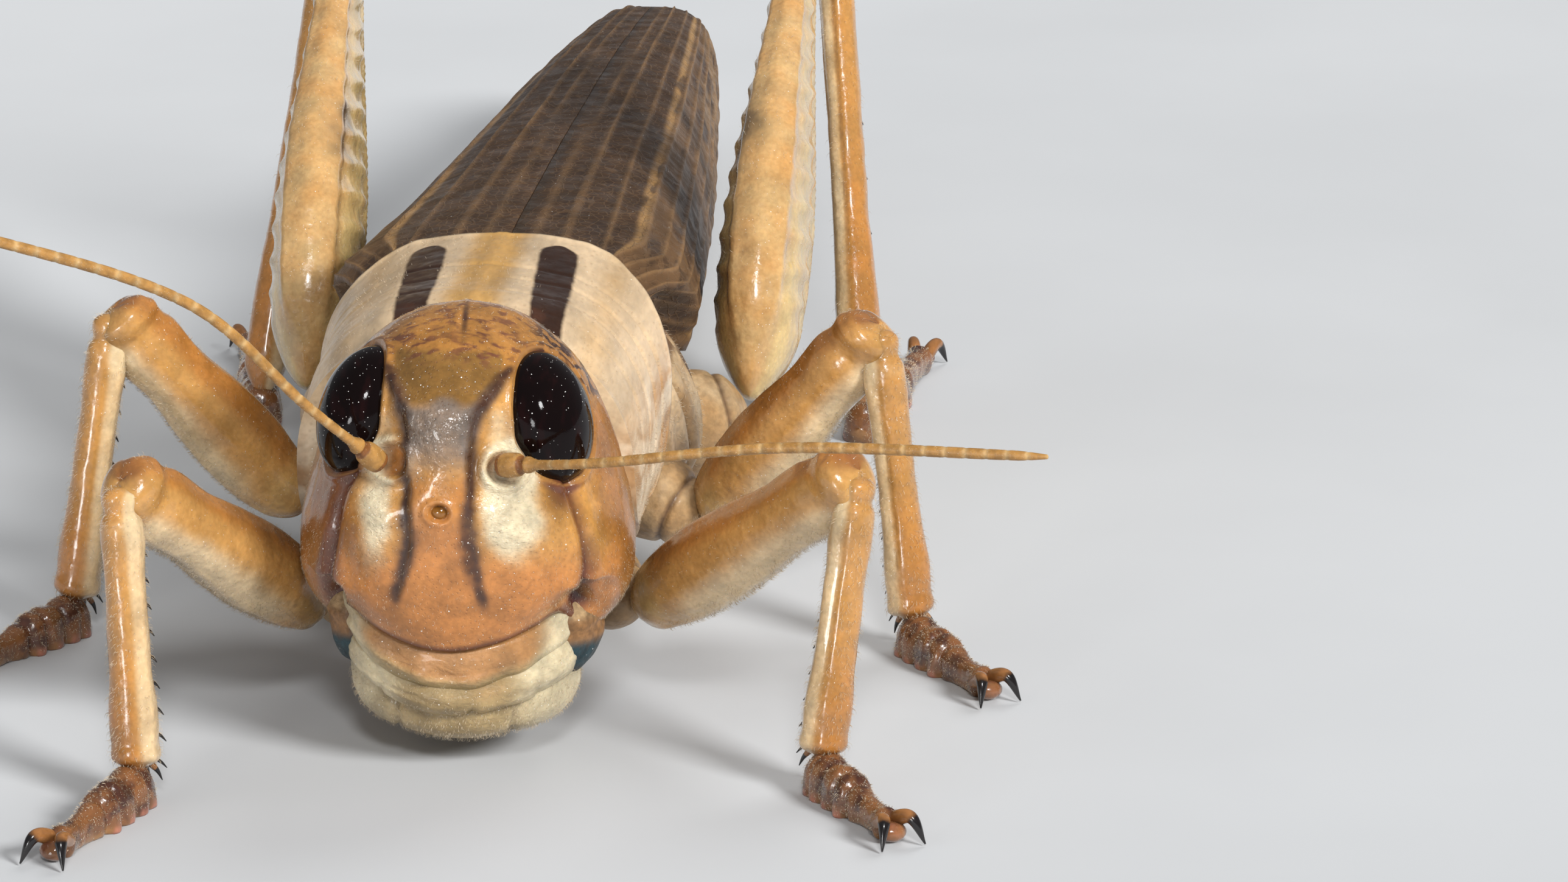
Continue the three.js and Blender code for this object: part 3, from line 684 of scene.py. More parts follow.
def hair_finish():
    f = Finish("hair", (0.70, 0.58, 0.42), rough=0.45, specular=0.3)
    f.shade(2.0, 0.3)
    return f.done()


# ---------------- hairs

HAIR_PATCH = 0.003  # size of one hair's place on the OFBake map


def scatter(patch, weight, count, seed):
    """Random places on a patch, denser where weight is higher: points, normals and map places."""
    rng = np.random.default_rng(seed)
    p, n = patch.points, patch.normals()
    weight = np.broadcast_to(weight, patch.shape)
    area = np.linalg.norm(np.cross(p[1:, :-1] - p[:-1, :-1], p[:-1, 1:] - p[:-1, :-1]), axis=-1)
    share = (area * weight[:-1, :-1]).ravel()
    cell = rng.choice(len(share), size=count, p=share / share.sum())
    i, j = np.divmod(cell, area.shape[1])
    a, b = rng.random((2, count, 1))

    def between(grid):
        near = grid[i, j] * (1 - b) + grid[i, j + 1] * b
        far = grid[i + 1, j] * (1 - b) + grid[i + 1, j + 1] * b
        return near * (1 - a) + far * a

    rows, cols = patch.shape
    place = joined((j + b[:, 0]) / cols, (i + a[:, 0]) / rows)
    return between(p), unit(between(n)), place, rng


# Each coat: how many hairs, their length and radius in mm, and how upright they stand, from 0 to 1.
COATS = {
    "head": (4200, 0.11, 0.0038, 0.5),
    "clypeus": (500, 0.10, 0.0045, 0.8),
    "labrum": (1200, 0.12, 0.0045, 0.8),
    "labium": (2600, 0.17, 0.0045, 0.8),
    "femur": (1700, 0.17, 0.0042, 0.7),
    "tibia": (1100, 0.2, 0.0045, 0.65),
    "tarsus": (1300, 0.12, 0.006, 0.7),
    "pronotum": (3600, 0.13, 0.0036, 0.6),
    "thorax": (3800, 0.24, 0.006, 0.5),
    "abdomen": (4200, 0.17, 0.0055, 0.3),
    "antenna": (1100, 0.07, 0.004, 0.5),
}


def hairs(patch, weight, kind, seed, lie, tile=(0, 1)):
    """Short curved hairs that lean the way lie points. tile is their strip of the map, of how many."""
    count, length, radius, stand = COATS[kind]
    root, normal, place, rng = scatter(patch, weight, count, seed)
    lean = unit(np.broadcast_to(lie, root.shape) + 0.45 * rng.normal(size=root.shape))
    lean = unit(lean - normal * (lean * normal).sum(-1, keepdims=True))
    first = unit(normal * stand + lean * (1 - stand))
    last = unit(normal * stand * 0.45 + lean)
    size = length * rng.uniform(0.55, 1.25, (count, 1))
    thick = radius * rng.uniform(0.8, 1.2, (count, 1))
    index, tiles = tile
    place[:, 0] = (index + place[:, 0]) / tiles
    return root - normal * 0.02, first, last, size, thick, place


# The corners of a hair: three round its root, three round its bend, and its tip.
HAIR_CORNERS = 7
HAIR_QUADS = ([0, 1, 4, 3], [1, 2, 5, 4], [2, 0, 3, 5])
HAIR_TRIS = ([3, 4, 6], [4, 5, 6], [5, 3, 6], [0, 2, 1])


def hair_points(root, first, last, size, thick):
    across = unit(np.cross(first, vec(0.31, 0.77, 0.55)))
    other = np.cross(first, across)
    middle = root + first * size * 0.5
    tip = middle + last * size * 0.5
    rings = []
    for centre, share in ((root, 1.0), (middle, 0.7)):
        for k in range(3):
            turn = 2 * math.pi * k / 3
            rings.append(centre + (across * math.cos(turn) + other * math.sin(turn)) * thick * share)
    points = np.stack([*rings, tip], axis=1).reshape(-1, 3)
    points[:, 2] = np.maximum(points[:, 2], 0)
    return points


def lay_out(mesh, place):
    """Gives each hair a small place of its own on the OFBake map."""
    corner = np.zeros(len(mesh.loops), np.int32)
    mesh.loops.foreach_get("vertex_index", corner)
    turn = 2 * math.pi * np.arange(HAIR_CORNERS) / 3
    spread = joined(np.cos(turn), np.sin(turn)) * np.array([1, 1, 1, 0.5, 0.5, 0.5, 0])[:, None]
    uv = np.clip(place, 0.002, 0.998)[corner // HAIR_CORNERS]
    uv = uv + spread[corner % HAIR_CORNERS] * HAIR_PATCH / 2
    layer = mesh.uv_layers.new(name="OFBake")
    layer.data.foreach_set("uv", uv.astype(np.float32).ravel())


def coat(name, groups, finish, slot):
    """One joined mesh of hairs, each a bent three-sided spike of ten triangles."""
    *shape, place = (np.concatenate(parts) for parts in zip(*groups))
    first = (np.arange(len(place)) * HAIR_CORNERS)[:, None]
    quads = np.concatenate([first + face for face in HAIR_QUADS])
    tris = np.concatenate([first + face for face in HAIR_TRIS])
    mesh = mesh_from(name, hair_points(*shape), quads, tris)
    lay_out(mesh, place)
    return add_piece(name, mesh, finish)


# ---------------- head

HEAD_PITCH, HEAD_YAW = math.radians(7), math.radians(3.3)
HEAD_ROWS, HEAD_COLS = 276, 360
CROWN = 4.6
HEAD_LEVELS = np.array([-3.6, -3.0, -2.4, -1.6, -0.8, 0, 1, 2, 3, 4, 4.35, 4.55, CROWN])


def at_level(values):
    """A size of the head's level section, smooth right up to the crown."""
    return smooth(np.sqrt(CROWN - HEAD_LEVELS)[::-1], values[::-1])


head_wide = at_level([3.0, 3.7, 4.02, 4.13, 4.1, 3.96, 3.7, 3.38, 2.87, 1.83, 1.2, 0.5, 0])
head_front = at_level([0.85, 0.55, 0.35, 0.15, 0.05, 0, 0.05, 0.12, 0.5, 1.6, 2.3, 2.9, 3.4])
head_middle = at_level([3.9, 4.0, 4.2, 4.3, 4.3, 4.3, 4.2, 4.0, 3.8, 3.6, 3.5, 3.4, 3.4])
head_back = at_level([5.3, 5.9, 6.1, 6.2, 6.3, 6.3, 6.3, 6.2, 5.9, 5.0, 4.5, 3.9, 3.4])
head_square = at_level([2.4, 2.4, 2.4, 2.3, 2.2, 2.0, 1.8, 1.7, 1.8, 2, 2, 2, 2])
EYE_HALF = vec(1.15, 1.45, 1.68)
EYE_LEAN, EYE_TIP = math.radians(17), math.radians(14)
SOCKETS = ((1.53, 1.12), (-1.2, 1.22))  # antenna sockets in the front view
# The dark line down each side of the middle of the face: its place across at heights up the face.
COSTA_LEFT = smooth(
    [-2.4, -1.9, -1.5, -1.0, -0.56, 0.12, 1.3, 1.8, 2.4, 3.0, 3.5],
    [-1.10, -1.02, -0.91, -0.80, -0.76, -0.80, -0.85, -0.87, -0.92, -1.14, -1.33],
)
COSTA_RIGHT = smooth(
    [-2.4, -1.83, -1.41, -0.98, -0.39, 0.8, 1.3, 1.81, 2.32, 2.7, 3.08, 3.5],
    [1.10, 0.95, 0.85, 0.76, 0.68, 0.75, 0.76, 0.78, 0.85, 1.06, 1.31, 1.57],
)
# The half width of both lines at heights up the face.
COSTA_WIDTH = smooth(
    [-2.4, -1.5, -0.9, -0.3, 0.4, 1.8, 2.6, 3.5],
    [0.2, 0.24, 0.33, 0.28, 0.22, 0.22, 0.27, 0.22],
)
# The furrow below each eye, as points in the front view.
FURROWS = (
    [(2.98, 0.85), (3.12, 0.5), (3.28, 0.0), (3.46, -0.6), (3.5, -1.32), (3.24, -2.2)],
    [(-2.1, 0.95), (-2.46, 0.12), (-2.71, -1.24), (-2.75, -1.75), (-2.52, -2.3)],
)


def on_head(p):
    """From the head's own frame, measured from the ocellus, to the body's frame."""
    x, y, z = xyz(p)
    y, z = spun(y, z, -HEAD_PITCH)
    x, y = spun(x, y, -HEAD_YAW)
    return joined(x, y, z) + OCELLUS


def front_view(p):
    """Where points of the head's frame are seen from the front, in mm: h is across and v is up."""
    x, y, z = xyz(p)
    near = 1 - 0.0062 * y
    return (0.992 * x + 0.127 * y) * near, (0.982 * z + 0.191 * y) * near


def eye_centre(side):
    return vec(side * 2.2, 2.15, 2.0)


def turned(p, side):
    """Turns points as the eye on that side is turned in the head."""
    x, y, z = xyz(p)
    x, z = spun(x, z, side * EYE_LEAN)
    y, z = spun(y, z, -EYE_TIP)
    return joined(x, y, z)


def eye_reaches(p):
    """Distances from the middles of both eyes, as a share of the eye's own size that way."""
    reaches = []
    for side in (-1, 1):
        x, y, z = xyz(p - eye_centre(side))
        y, z = spun(y, z, EYE_TIP)
        x, z = spun(x, z, -side * EYE_LEAN)
        reaches.append(np.sqrt((x / EYE_HALF[0]) ** 2 + (y / EYE_HALF[1]) ** 2 + (z / EYE_HALF[2]) ** 2))
    return reaches


def socket_reaches(h, v):
    """Distances in the front view from the middles of both antenna sockets."""
    return [np.hypot(h - a, v - b) for a, b in SOCKETS]


def head_base():
    """The plain capsule, its points closer together on the face than behind."""
    root = np.linspace(math.sqrt(CROWN - HEAD_LEVELS[0]), 0.012, HEAD_ROWS)[:, None]
    s = np.linspace(-1, 1, HEAD_COLS, endpoint=False)[None, :]
    turn = math.pi * s - 0.6 * np.sin(math.pi * s)
    middle = head_middle(root)
    end = np.where(np.cos(turn) > 0, head_front(root), head_back(root))
    square = head_square(root)
    x = head_wide(root) * rounded(np.sin(turn), square)
    y = middle - np.abs(end - middle) * rounded(np.cos(turn), square)
    level = CROWN - root**2
    bend = fall(level, -3.6, -1.6) * fall(y, 1.8, 3.6)
    return joined(x, y, level + 0.13 * x * x * bend)


# Spots in the front view: strength, centre, half sizes and softness of the edge.
BULGES = (
    (0.13, (-1.62, -0.1), (0.55, 1.3), 0.7),
    (0.13, (1.9, 0.0), (0.75, 1.2), 0.7),
    (-0.22, (3.3, -2.0), (0.28, 0.22), 0.8),
    (-0.22, (-2.6, -2.1), (0.2, 0.22), 0.8),
)
CREAM_SPOTS = (
    (0.85, (-1.48, 0.1), (0.31, 1.1), 0.9),
    (0.25, (-1.75, -0.3), (0.4, 1.1), 0.9),
    (0.35, (-1.3, 1.9), (0.4, 0.7), 0.9),
    (0.95, (1.55, 0.25), (0.6, 0.8), 0.9),
    (0.75, (1.85, -0.4), (0.6, 0.75), 0.95),
    (0.5, (1.55, 1.9), (0.5, 0.8), 0.9),
    (0.8, (1.95, 1.62), (0.35, 0.2), 0.9),
    (0.8, (2.12, 1.0), (0.2, 0.35), 0.9),
)
# Painted shade at the corners of the mouth
MOUTH_CORNERS = (
    (0.9, (3.3, -2.05), (0.22, 0.16), 0.8),
    (0.9, (-2.6, -2.15), (0.14, 0.2), 0.8),
)
CROWN_PATCHES = (
    (0.95, (-0.75, 4.0), (0.85, 0.35), 0.6),
    (0.95, (1.1, 4.0), (0.9, 0.4), 0.6),
)


def between_lines(h, v, before, inside):
    """1 between the face's two lines, rising from so far before each of them to so far inside."""
    left = ramp(h, COSTA_LEFT(v) - before, COSTA_LEFT(v) + inside)
    return left * fall(h, COSTA_RIGHT(v) - inside, COSTA_RIGHT(v) + before)


def face_relief(h, v):
    """How far the sculpted face stands out from the plain capsule."""
    up = 0.16 * between_lines(h, v, 0.05, 0.22) * ramp(v, -2.6, -1.2) * fall(v, 2.2, 2.9)
    up -= 0.05 * hump(h, 0, 0.35) * hump(v, 0.1, 0.9)
    pit = np.hypot(h / 0.27, (v - 0.02) / 0.22)
    up += 0.05 * hump(pit, 1.25, 0.3) - 0.16 * fall(pit, 0.5, 1.1)
    for ring in socket_reaches(h, v):
        up += 0.09 * hump(ring, 0.5, 0.1) - 0.13 * fall(ring, 0.25, 0.45) - 0.10 * hump(ring, 0.75, 0.3)
    up -= 0.07 * between_lines(h, v, 0, 0.3) * hump(v, 3.25, 0.55)
    up += 0.06 * (hump(h, COSTA_LEFT(v), 0.12) + hump(h, COSTA_RIGHT(v), 0.12)) * hump(v, 3.1, 0.6)
    for line in FURROWS:
        away = to_line(h, v, line)
        up += 0.05 * hump(away, 0.25, 0.16) - 0.12 * hump(away, 0, 0.1)
    return up + all_spots(h, v, BULGES)


def head_relief(p, h, v, front):
    up = face_relief(h, v) * front
    for reach in eye_reaches(p):
        up += 0.07 * hump(reach, 1.08, 0.05) - 0.15 * fall(reach, 0.8, 0.98)
    up += 0.03 * hump(p[..., 0], 0, 0.1) * ramp(v, 3.8, 4.4)
    return up + 0.035 * rough_noise(p, 0.9, 3, 5) + 0.008 * rough_noise(p, 5.0, 3, 9)


def line_marks(h, v, front, left, right):
    """Masks of the face's two dark lines and of the grey and the olive between them."""
    ends = ramp(v, -2.7, -1.9) * fall(v, 3.4, 3.7) * (1 - 0.2 * hump(v, 1.9, 0.6))
    parting = hump(h, 0.48, 0.1) * hump(v, 4.7, 0.6)
    top = 2.45 + 0.3 * hump(h, 0.1, 0.4)
    grey = 0.9 * between_lines(h, v, 0.12, 0.12) * ramp(v, 0.0, 2.0) * fall(v, top - 0.2, top + 0.35)
    grey += 0.6 * (left + 1.3 * right) * ramp(v, 0.9, 2.2) * fall(v, 3.0, 3.5)
    olive = between_lines(h, v, -0.02, 0.25) * ramp(v, 2.3, 2.8) * fall(v, 3.7, 4.15)
    dark = (left + right) * ends * front + 0.9 * parting
    return {"dark": dark, "grey": grey * front, "olive": olive * front}


def crown_marks(h, v, y):
    """Masks of the ochre crown, its mottling and the dark blotches behind the eyes."""
    behind_eyes = ramp(np.abs(h - 0.2), 1.6, 2.2) * ramp(v, 2.6, 3.2) * ramp(y, 1.6, 2.2)
    return {
        "crown": ramp(v + 0.25 * np.abs(h), 3.1, 4.3) * fall(y, 5.0, 6.2),
        "mottle": all_spots(h, v, CROWN_PATCHES) + 0.8 * ramp(v, 4.15, 4.6) * fall(y, 5.4, 6.2),
        "blotch": behind_eyes + 0.5 * ramp(y, 3.6, 4.6) * ramp(v, 1.0, 2.8),
    }


def cheek_marks(h, v, y, front, lines):
    """Masks of the cream cheeks, the orange lower face, the brown sides with painted shade over the left of
    the face, and what looks wet.
    """
    between = between_lines(h, v, 0.12, 0.12)
    cream = all_spots(h, v, CREAM_SPOTS)
    warm = ramp(-v, -0.2, 2.0) * fall(y, 2.5, 4.0) + 0.7 * between * fall(v, 0.5, 1.5)
    for ring in socket_reaches(h, v):
        cream += 0.6 * hump(ring, 0.52, 0.11)
        warm += 0.8 * fall(ring, 0.32, 0.44) * front
    cream = cream * (1 - 0.9 * np.clip(lines, 0, 1)) * front
    # The brown sides of the head, and painted shade over the left front of the face
    gena = ramp(y, 1.3, 3.0) * fall(v, 2.5, 3.5) + ramp(-h, 1.25, 2.4) * front
    wet = hump(v, 1.7, 0.9) * between + 0.8 * cream + 0.25
    return {"cream": cream, "warm": warm, "gena": gena, "wet": wet}


def edge_marks(p, h, v, y, front):
    """Masks of the dark lines along the furrows with painted shade in the pits and creases, of wider
    painted shade beside them and elsewhere, and of the rims of the eyes.
    """
    depth = 0.8 * (0.75 + 0.25 * ramp(-v, 0.3, 1.6))
    pit = np.hypot(h / 0.25, (v - 0.02) / 0.2)
    # Painted shade in the ocellus pit and at the corners of the mouth
    seam = 0.5 * fall(pit, 0.6, 1.0) + all_spots(h, v, MOUTH_CORNERS)
    # Painted shade: a patch below the right eye and a wash over the left of the face
    dusk = 0.6 * spot(h, v, (2.72, 0.55), (0.3, 0.55), 0.9) + 0.45 * ramp(-h, 1.8, 2.8)
    # Dark lines along the furrows, with painted shade beside them
    for line in FURROWS:
        seam += depth * stroke(h, v, line, 0.045)
        dusk += depth * stroke(h, v, line, 0.28)
    # Painted shade round the antenna sockets
    for ring in socket_reaches(h, v):
        dusk += 0.35 * hump(ring, 0.37, 0.05)
    # Painted shade low at the back of the head
    seam, dusk = seam * front, dusk * front + 0.35 * ramp(y, 3.6, 4.8) * ramp(-v, -2.5, 1.5)
    rim = np.zeros_like(h)
    # Painted shade in the crease round each eye and just outside it
    for reach in eye_reaches(p):
        seam += 0.9 * hump(reach, 0.985, 0.02)
        dusk += 0.35 * hump(reach, 1.1, 0.06)
        rim += hump(reach, 1.045, 0.016)
    # Painted shade under the lower edge of the face, on the capsule's first rows
    seam += 0.8 * fall(np.arange(len(p)) / len(p), 0.002, 0.012)[:, None]
    return {"seam": seam, "dusk": dusk, "rim": rim}


def make_head():
    p = head_base()
    h, v = front_view(p)
    y = p[..., 1]
    front = fall(y, 2.6, 4.2)
    width = COSTA_WIDTH(v)
    left, right = hump(h, COSTA_LEFT(v), width), hump(h, COSTA_RIGHT(v), width)
    patch = Patch(p).swell(head_relief(p, h, v, front))
    patch.paint(**line_marks(h, v, front, left, right), **crown_marks(h, v, y))
    patch.paint(**cheek_marks(h, v, y, front, left + right), **edge_marks(p, h, v, y, front))
    build("head_skin", [patch.moved(on_head)], face_finish(), ["head"])
    return patch, h, v, y


def ball(centre, half, rows=40, cols=56, turn=None, square=2.0):
    """An egg shape as a patch, its poles up and down; turn changes the points first."""
    lat = np.linspace(-math.pi / 2 + 0.02, math.pi / 2 - 0.02, rows)[:, None]
    lon = np.linspace(-math.pi, math.pi, cols, endpoint=False)[None, :]
    ring, height = rounded(np.cos(lat), square), rounded(np.sin(lat), square)
    x, y = half[0] * ring * np.sin(lon), -half[1] * ring * np.cos(lon)
    p = joined(x, y, half[2] * height * np.ones_like(lon))
    return Patch((turn(p) if turn else p) + centre)


def make_eyes():
    finish = eye_finish()
    for name, side in SIDES:
        eye = ball(eye_centre(side), EYE_HALF, 80, 100, lambda p: turned(p, side))
        eye.swell(0.012 * rough_noise(eye.points, 1.2, 2, 21))
        inward = -side * (eye.points[..., 0] - eye_centre(side)[0])
        eye.paint(rim=ramp(inward, 0.55, 1.0))
        build(f"eye_{name}_lens", [eye.moved(on_head)], finish, [f"eye_{name}"])


def head_surface_y(x, z):
    """Depth of the plain face at a place in the head's frame."""
    root = np.sqrt(CROWN - z)
    share = np.clip(np.abs(x) / head_wide(root), 0, 1)
    square = head_square(root)
    reach = np.abs(head_front(root) - head_middle(root))
    return head_middle(root) - reach * (1 - share**square) ** (1 / square)


# Each ocellus: its place across and up, its half size, and how deep it sits in the face.
OCELLI = ((0.0, 0.0, 0.2, 0.06), (-1.62, 2.15, 0.13, 0.13), (1.62, 2.15, 0.13, 0.13))


def make_ocelli():
    beads = []
    for x, z, half, sunk in OCELLI:
        y = float(head_surface_y(np.array(x), np.array(z))) + sunk
        bead = ball(vec(x, y, z), vec(half * 1.2, half * 0.75, half * 0.9), 24, 32)
        beads.append(bead.moved(on_head))
    build("ocelli", beads, bead_finish())


# ---------------- tubes along a path


def run_length(points, power=1):
    """How far along a line of points each one lies, with each step raised to a power."""
    steps = np.linalg.norm(np.diff(points, axis=0), axis=1) ** power
    return np.concatenate([[0], np.cumsum(steps)])


def along_path(points, t):
    """Points and directions at shares t of the length of a smooth path."""
    points = np.array(points, float)
    if len(points) == 2:
        line = points[0] + (points[1] - points[0]) * t[:, None]
        return line, np.broadcast_to(unit(points[1] - points[0]), line.shape)
    knots = run_length(points, 0.5)
    fine = smooth(knots, points)(np.linspace(0, knots[-1], 400))
    reach = run_length(fine)
    line = joined(*(np.interp(t * reach[-1], reach, axis) for axis in xyz(fine)))
    return line, unit(np.gradient(line, axis=0))


def closing(reach, length):
    """How wide a round end of that length is, as a share, at a reach from its tip."""
    return np.sqrt(np.clip(1 - (1 - np.minimum(reach / length, 1)) ** 2, 0.0004, 1)) if length else 1.0


class Tube(Patch):
    """A tapering tube: wide along side, deep across it. t and angle are kept for painting."""

    def __init__(self, path, side, wide, deep=None, rows=60, cols=40, square=2.0, ends=(0.05, 0.05)):
        t = np.linspace(0, 1, rows)
        edge = (0.5 - 0.5 * np.cos(math.pi * t)) * 0.35 + t * 0.65
        line, along = along_path(path, edge)
        across = unit(side - along * (along @ np.asarray(side, float))[:, None])
        up = np.cross(along, across)
        angle = np.linspace(0, 2 * math.pi, cols, endpoint=False)[None, :]
        close = closing(edge, ends[0]) * closing(1 - edge, ends[1])
        half_wide = evenly(wide)(edge) * close
        half_deep = evenly(deep if deep is not None else wide)(edge) * close
        p = (
            line[:, None]
            + across[:, None] * (half_wide[:, None] * rounded(np.cos(angle), square))[..., None]
            + up[:, None] * (half_deep[:, None] * rounded(np.sin(angle), square))[..., None]
        )
        super().__init__(p)
        self.t = np.broadcast_to(edge[:, None], self.shape)
        self.angle = np.broadcast_to(angle, self.shape)
        self.line, self.along, self.across, self.up = line, along, across, up


# ---------------- antennae

ANTENNA_LENGTH = 14.0
ANTENNA_BASE = 1.1  # the length of its two thick first joints
ANTENNA_ROUTES = {
    "left": [(1.46, 0.45, 8.2), (3.9, -0.9, 8.75), (8.6, -2, 9.6), (15.0, -3.2, 9.9)],
    "right": [(-1.5, 0.45, 8.2), (-3.0, -0.9, 10.0), (-5.8, -1.9, 12.9), (-11.6, -3.2, 15.1)],
}
FEELER_RINGS = 26
antenna_radius = smooth(
    [0, 0.25, 0.55, 0.7, 0.85, 1.0, 1.15, 3, 8, 13.2, ANTENNA_LENGTH],
    [0.28, 0.31, 0.28, 0.19, 0.21, 0.16, 0.125, 0.128, 0.135, 0.12, 0.055],
)


def antenna_patch(route):
    """One antenna with its joints, and the directions along it."""
    tube = Tube(route, UP, [1.0, 1.0], rows=640, cols=14, ends=(0, 0.01))
    reach = run_length(tube.line)
    kept = reach <= ANTENNA_LENGTH
    reach, line = reach[kept], tube.line[kept][:, None]
    step = (ANTENNA_LENGTH - ANTENNA_BASE) / FEELER_RINGS
    phase = (reach - ANTENNA_BASE) / step
    from_joint = np.abs(phase - np.round(phase)) * step
    past = ramp(reach, ANTENNA_BASE, ANTENNA_BASE + 0.1)
    radius = antenna_radius(reach) * (1 - 0.08 * past * hump(from_joint, 0, 0.045))
    radius[-1] = 0.02
    patch = Patch(line + (tube.points[kept] - line) * radius[:, None, None])
    joint = past * hump(from_joint, 0, 0.07)
    base = fall(reach, 1.0, 1.3) * hump(reach, 0.72, 0.12) + fall(reach, 0.0, 0.2)
    return patch.paint(joint=joint[:, None], base_ring=base[:, None]), tube.along[kept]


def make_antennae():
    finish = antenna_finish()
    antennae = {name: antenna_patch(route) for name, route in ANTENNA_ROUTES.items()}
    for name, (patch, _) in antennae.items():
        build(f"antenna_{name}_rings", [patch], finish, [f"antenna_{name}"])
    return antennae


# ---------------- mouth


def lip(centre, half, lift, rows, cols, back):
    """A plate of the mouth: a flat-faced egg whose sides bend up and whose hidden back is shallow."""
    patch = ball(vec(0, 0, 0), half, rows, cols, square=3.6)
    x, y, z = xyz(patch.points)
    patch.points = joined(x, np.where(y > 0, back * y, y), z + lift * x * x) + np.array(centre)
    return patch


def creases(p, v, line):
    """Shallow wrinkles that run across a soft plate, beside its lower edge."""
    wander = 0.25 * noise(p, 0.9, 33)
    folds = np.sin((v - line + wander) * 24) * hump(v, line + 0.35, 0.35)
    return 0.014 * folds + 0.07 * rough_noise(p * vec(0.8, 1, 1.5), 0.9, 3, 34)


def clypeus_patch():
    clypeus = lip((0, 3.2, -4.06), (2.95, 2.32, 0.8), 0.13, 90, 150, 0.3)
    h, v = front_view(clypeus.points)
    line = -4.32 + 0.19 * (h - 0.3) ** 2
    ridge = hump(v, line + 0.14, 0.1) - 0.6 * hump(v, line + 0.36, 0.1)
    dents = hump(v, line + 0.3, 0.25) * noise(clypeus.points * vec(1, 1, 0.6), 1.5, 37)
    clypeus.swell(0.035 * ridge + 0.13 * dents + creases(clypeus.points, v, line))
    return clypeus.paint(
        warm=fall(np.abs(h - 0.3), 1.7, 2.8) * ramp(v, line - 0.05, line + 0.45),
        # Painted shade in the groove above the lower edge
        seam=0.1 * hump(v, line + 0.34, 0.07),
        pale=ramp(np.abs(h - 0.3), 1.3, 2.6),
    )


def labrum_patch():
    """The upper lip, with the notch in the middle of its edge."""
    labrum = lip((0.05, 3.2, -4.75), (2.88, 2.1, 0.68), 0.115, 100, 180, 0.3)
    h, v = front_view(labrum.points)
    middle = h - 0.75
    edge = -4.95 + 0.16 * (h - 0.3) ** 2
    notch = hump(middle, 0, 0.14) * fall(v, edge + 0.05, edge + 0.4)
    lobes = sum(spot(middle, v, (s * 1.2, edge + 0.3), (0.95, 0.3), 0.8) for s in (-1, 1))
    corners = sum(spot(h - 0.4, v, (s * 2.3, -3.6), (0.5, 0.4), 0.7) for s in (-1, 1))
    groove = hump(v, edge + 0.3, 0.07) * ramp(np.abs(middle), 0.2, 0.8) * fall(np.abs(middle), 1.7, 2.4)
    split = stroke(np.abs(h - 0.4), v, [(1.95, -4.5), (1.9, -4.1), (2.1, -3.6)], 0.1)
    up = 0.08 * lobes + 0.07 * corners - 0.12 * notch
    up = up - 0.04 * groove * ramp(-middle, -0.5, 0.5) - 0.06 * split
    labrum.swell(up + creases(labrum.points, v, edge))
    return labrum.paint(
        # Painted shade in the notch, the groove and the split
        seam=0.25 * notch + 0.2 * groove + 0.15 * split,
        pale=ramp(np.abs(h - 0.4), 0.7, 2.2),
        warm=0.35 * hump(h, 1.1, 1.1) * ramp(v, edge + 0.1, edge + 0.5),
    )


# The bulges of the lower lip: strength, centre, half sizes and softness of the edge.
LABIUM_LOBES = (
    (1, (-2.1, -4.95), (0.8, 0.6), 0.7),
    (1, (0.0, -4.95), (1.2, 0.6), 0.7),
    (1, (2.15, -4.95), (0.75, 0.6), 0.7),
)


def labium_patch():
    """The lower lip, with a groove on each side of its middle lobe, darkened with painted shade."""
    labium = lip((0.05, 3.6, -5.0), (2.85, 2.0, 1.1), 0.07, 90, 160, 0.7)
    h, v = front_view(labium.points)
    middle = h - 0.25
    seam = stroke(middle, v, [(1.5, -4.4), (1.42, -5.1), (1.25, -5.9)], 0.07)
    seam += stroke(middle, v, [(-1.35, -4.4), (-1.3, -5.1), (-1.15, -5.9)], 0.07)
    bulge = all_spots(middle, v, LABIUM_LOBES)
    labium.swell(0.1 * bulge - 0.1 * seam + 0.06 * rough_noise(labium.points, 1.1, 4, 36))
    # Painted shade in the grooves beside the middle lobe
    return labium.paint(seam=0.3 * seam, pale=0.2 + 0.8 * ramp(np.abs(middle), 0.8, 2.6), warm=0.1)


def mandible_patch(side):
    patch = ball(vec(side * 2.62, 3.75, -3.5), vec(0.86, 1.25, 1.15), 60, 72, square=2.8)
    _, y, z = xyz(patch.points)
    patch.points[..., 0] -= side * 0.28 * ramp(-z, 3.2, 4.6)
    ridge = hump(z, -3.3 + 0.2 * (y - 3.5), 0.12)
    patch.swell(0.12 * rough_noise(patch.points, 1.1, 4, 38) - 0.06 * ridge)
    return patch.paint(upper=ramp(z, -3.4, -2.8), blue=ramp(-z, 3.3, 4.0), dark=ramp(-z, 4.1, 4.6))


# Each palp: the places along the left one, its radius and its number of joints.
PALPS = {
    "maxillary": ([(1.7, 4.8, -4.3), (2.35, 5.6, -4.9), (2.25, 5.0, -5.75)], 0.24, 4),
    "labial": ([(0.9, 4.9, -5.0), (1.3, 5.8, -5.3), (1.2, 5.4, -5.8)], 0.22, 3),
}


def make_palps(finish):
    for kind, (route, radius, joints) in PALPS.items():
        for name, side in SIDES:
            path = [on_head(vec(side * x, y, z)) for x, y, z in route]
            wide = [radius * share for share in (1, 1, 0.95, 1.1, 0.8)]
            palp = Tube(path, vec(0, 1, 0), wide, rows=90, cols=28)
            phase = palp.t * joints
            groove = hump(np.abs(phase - np.round(phase)), 0, 0.07)
            palp.swell(-0.05 * groove)
            palp.paint(pale=0.5, warm=0.3, seam=0.6 * groove)
            build(f"{kind}_palp_{name}_rings", [palp], finish, [f"{kind}_palp_{name}"])


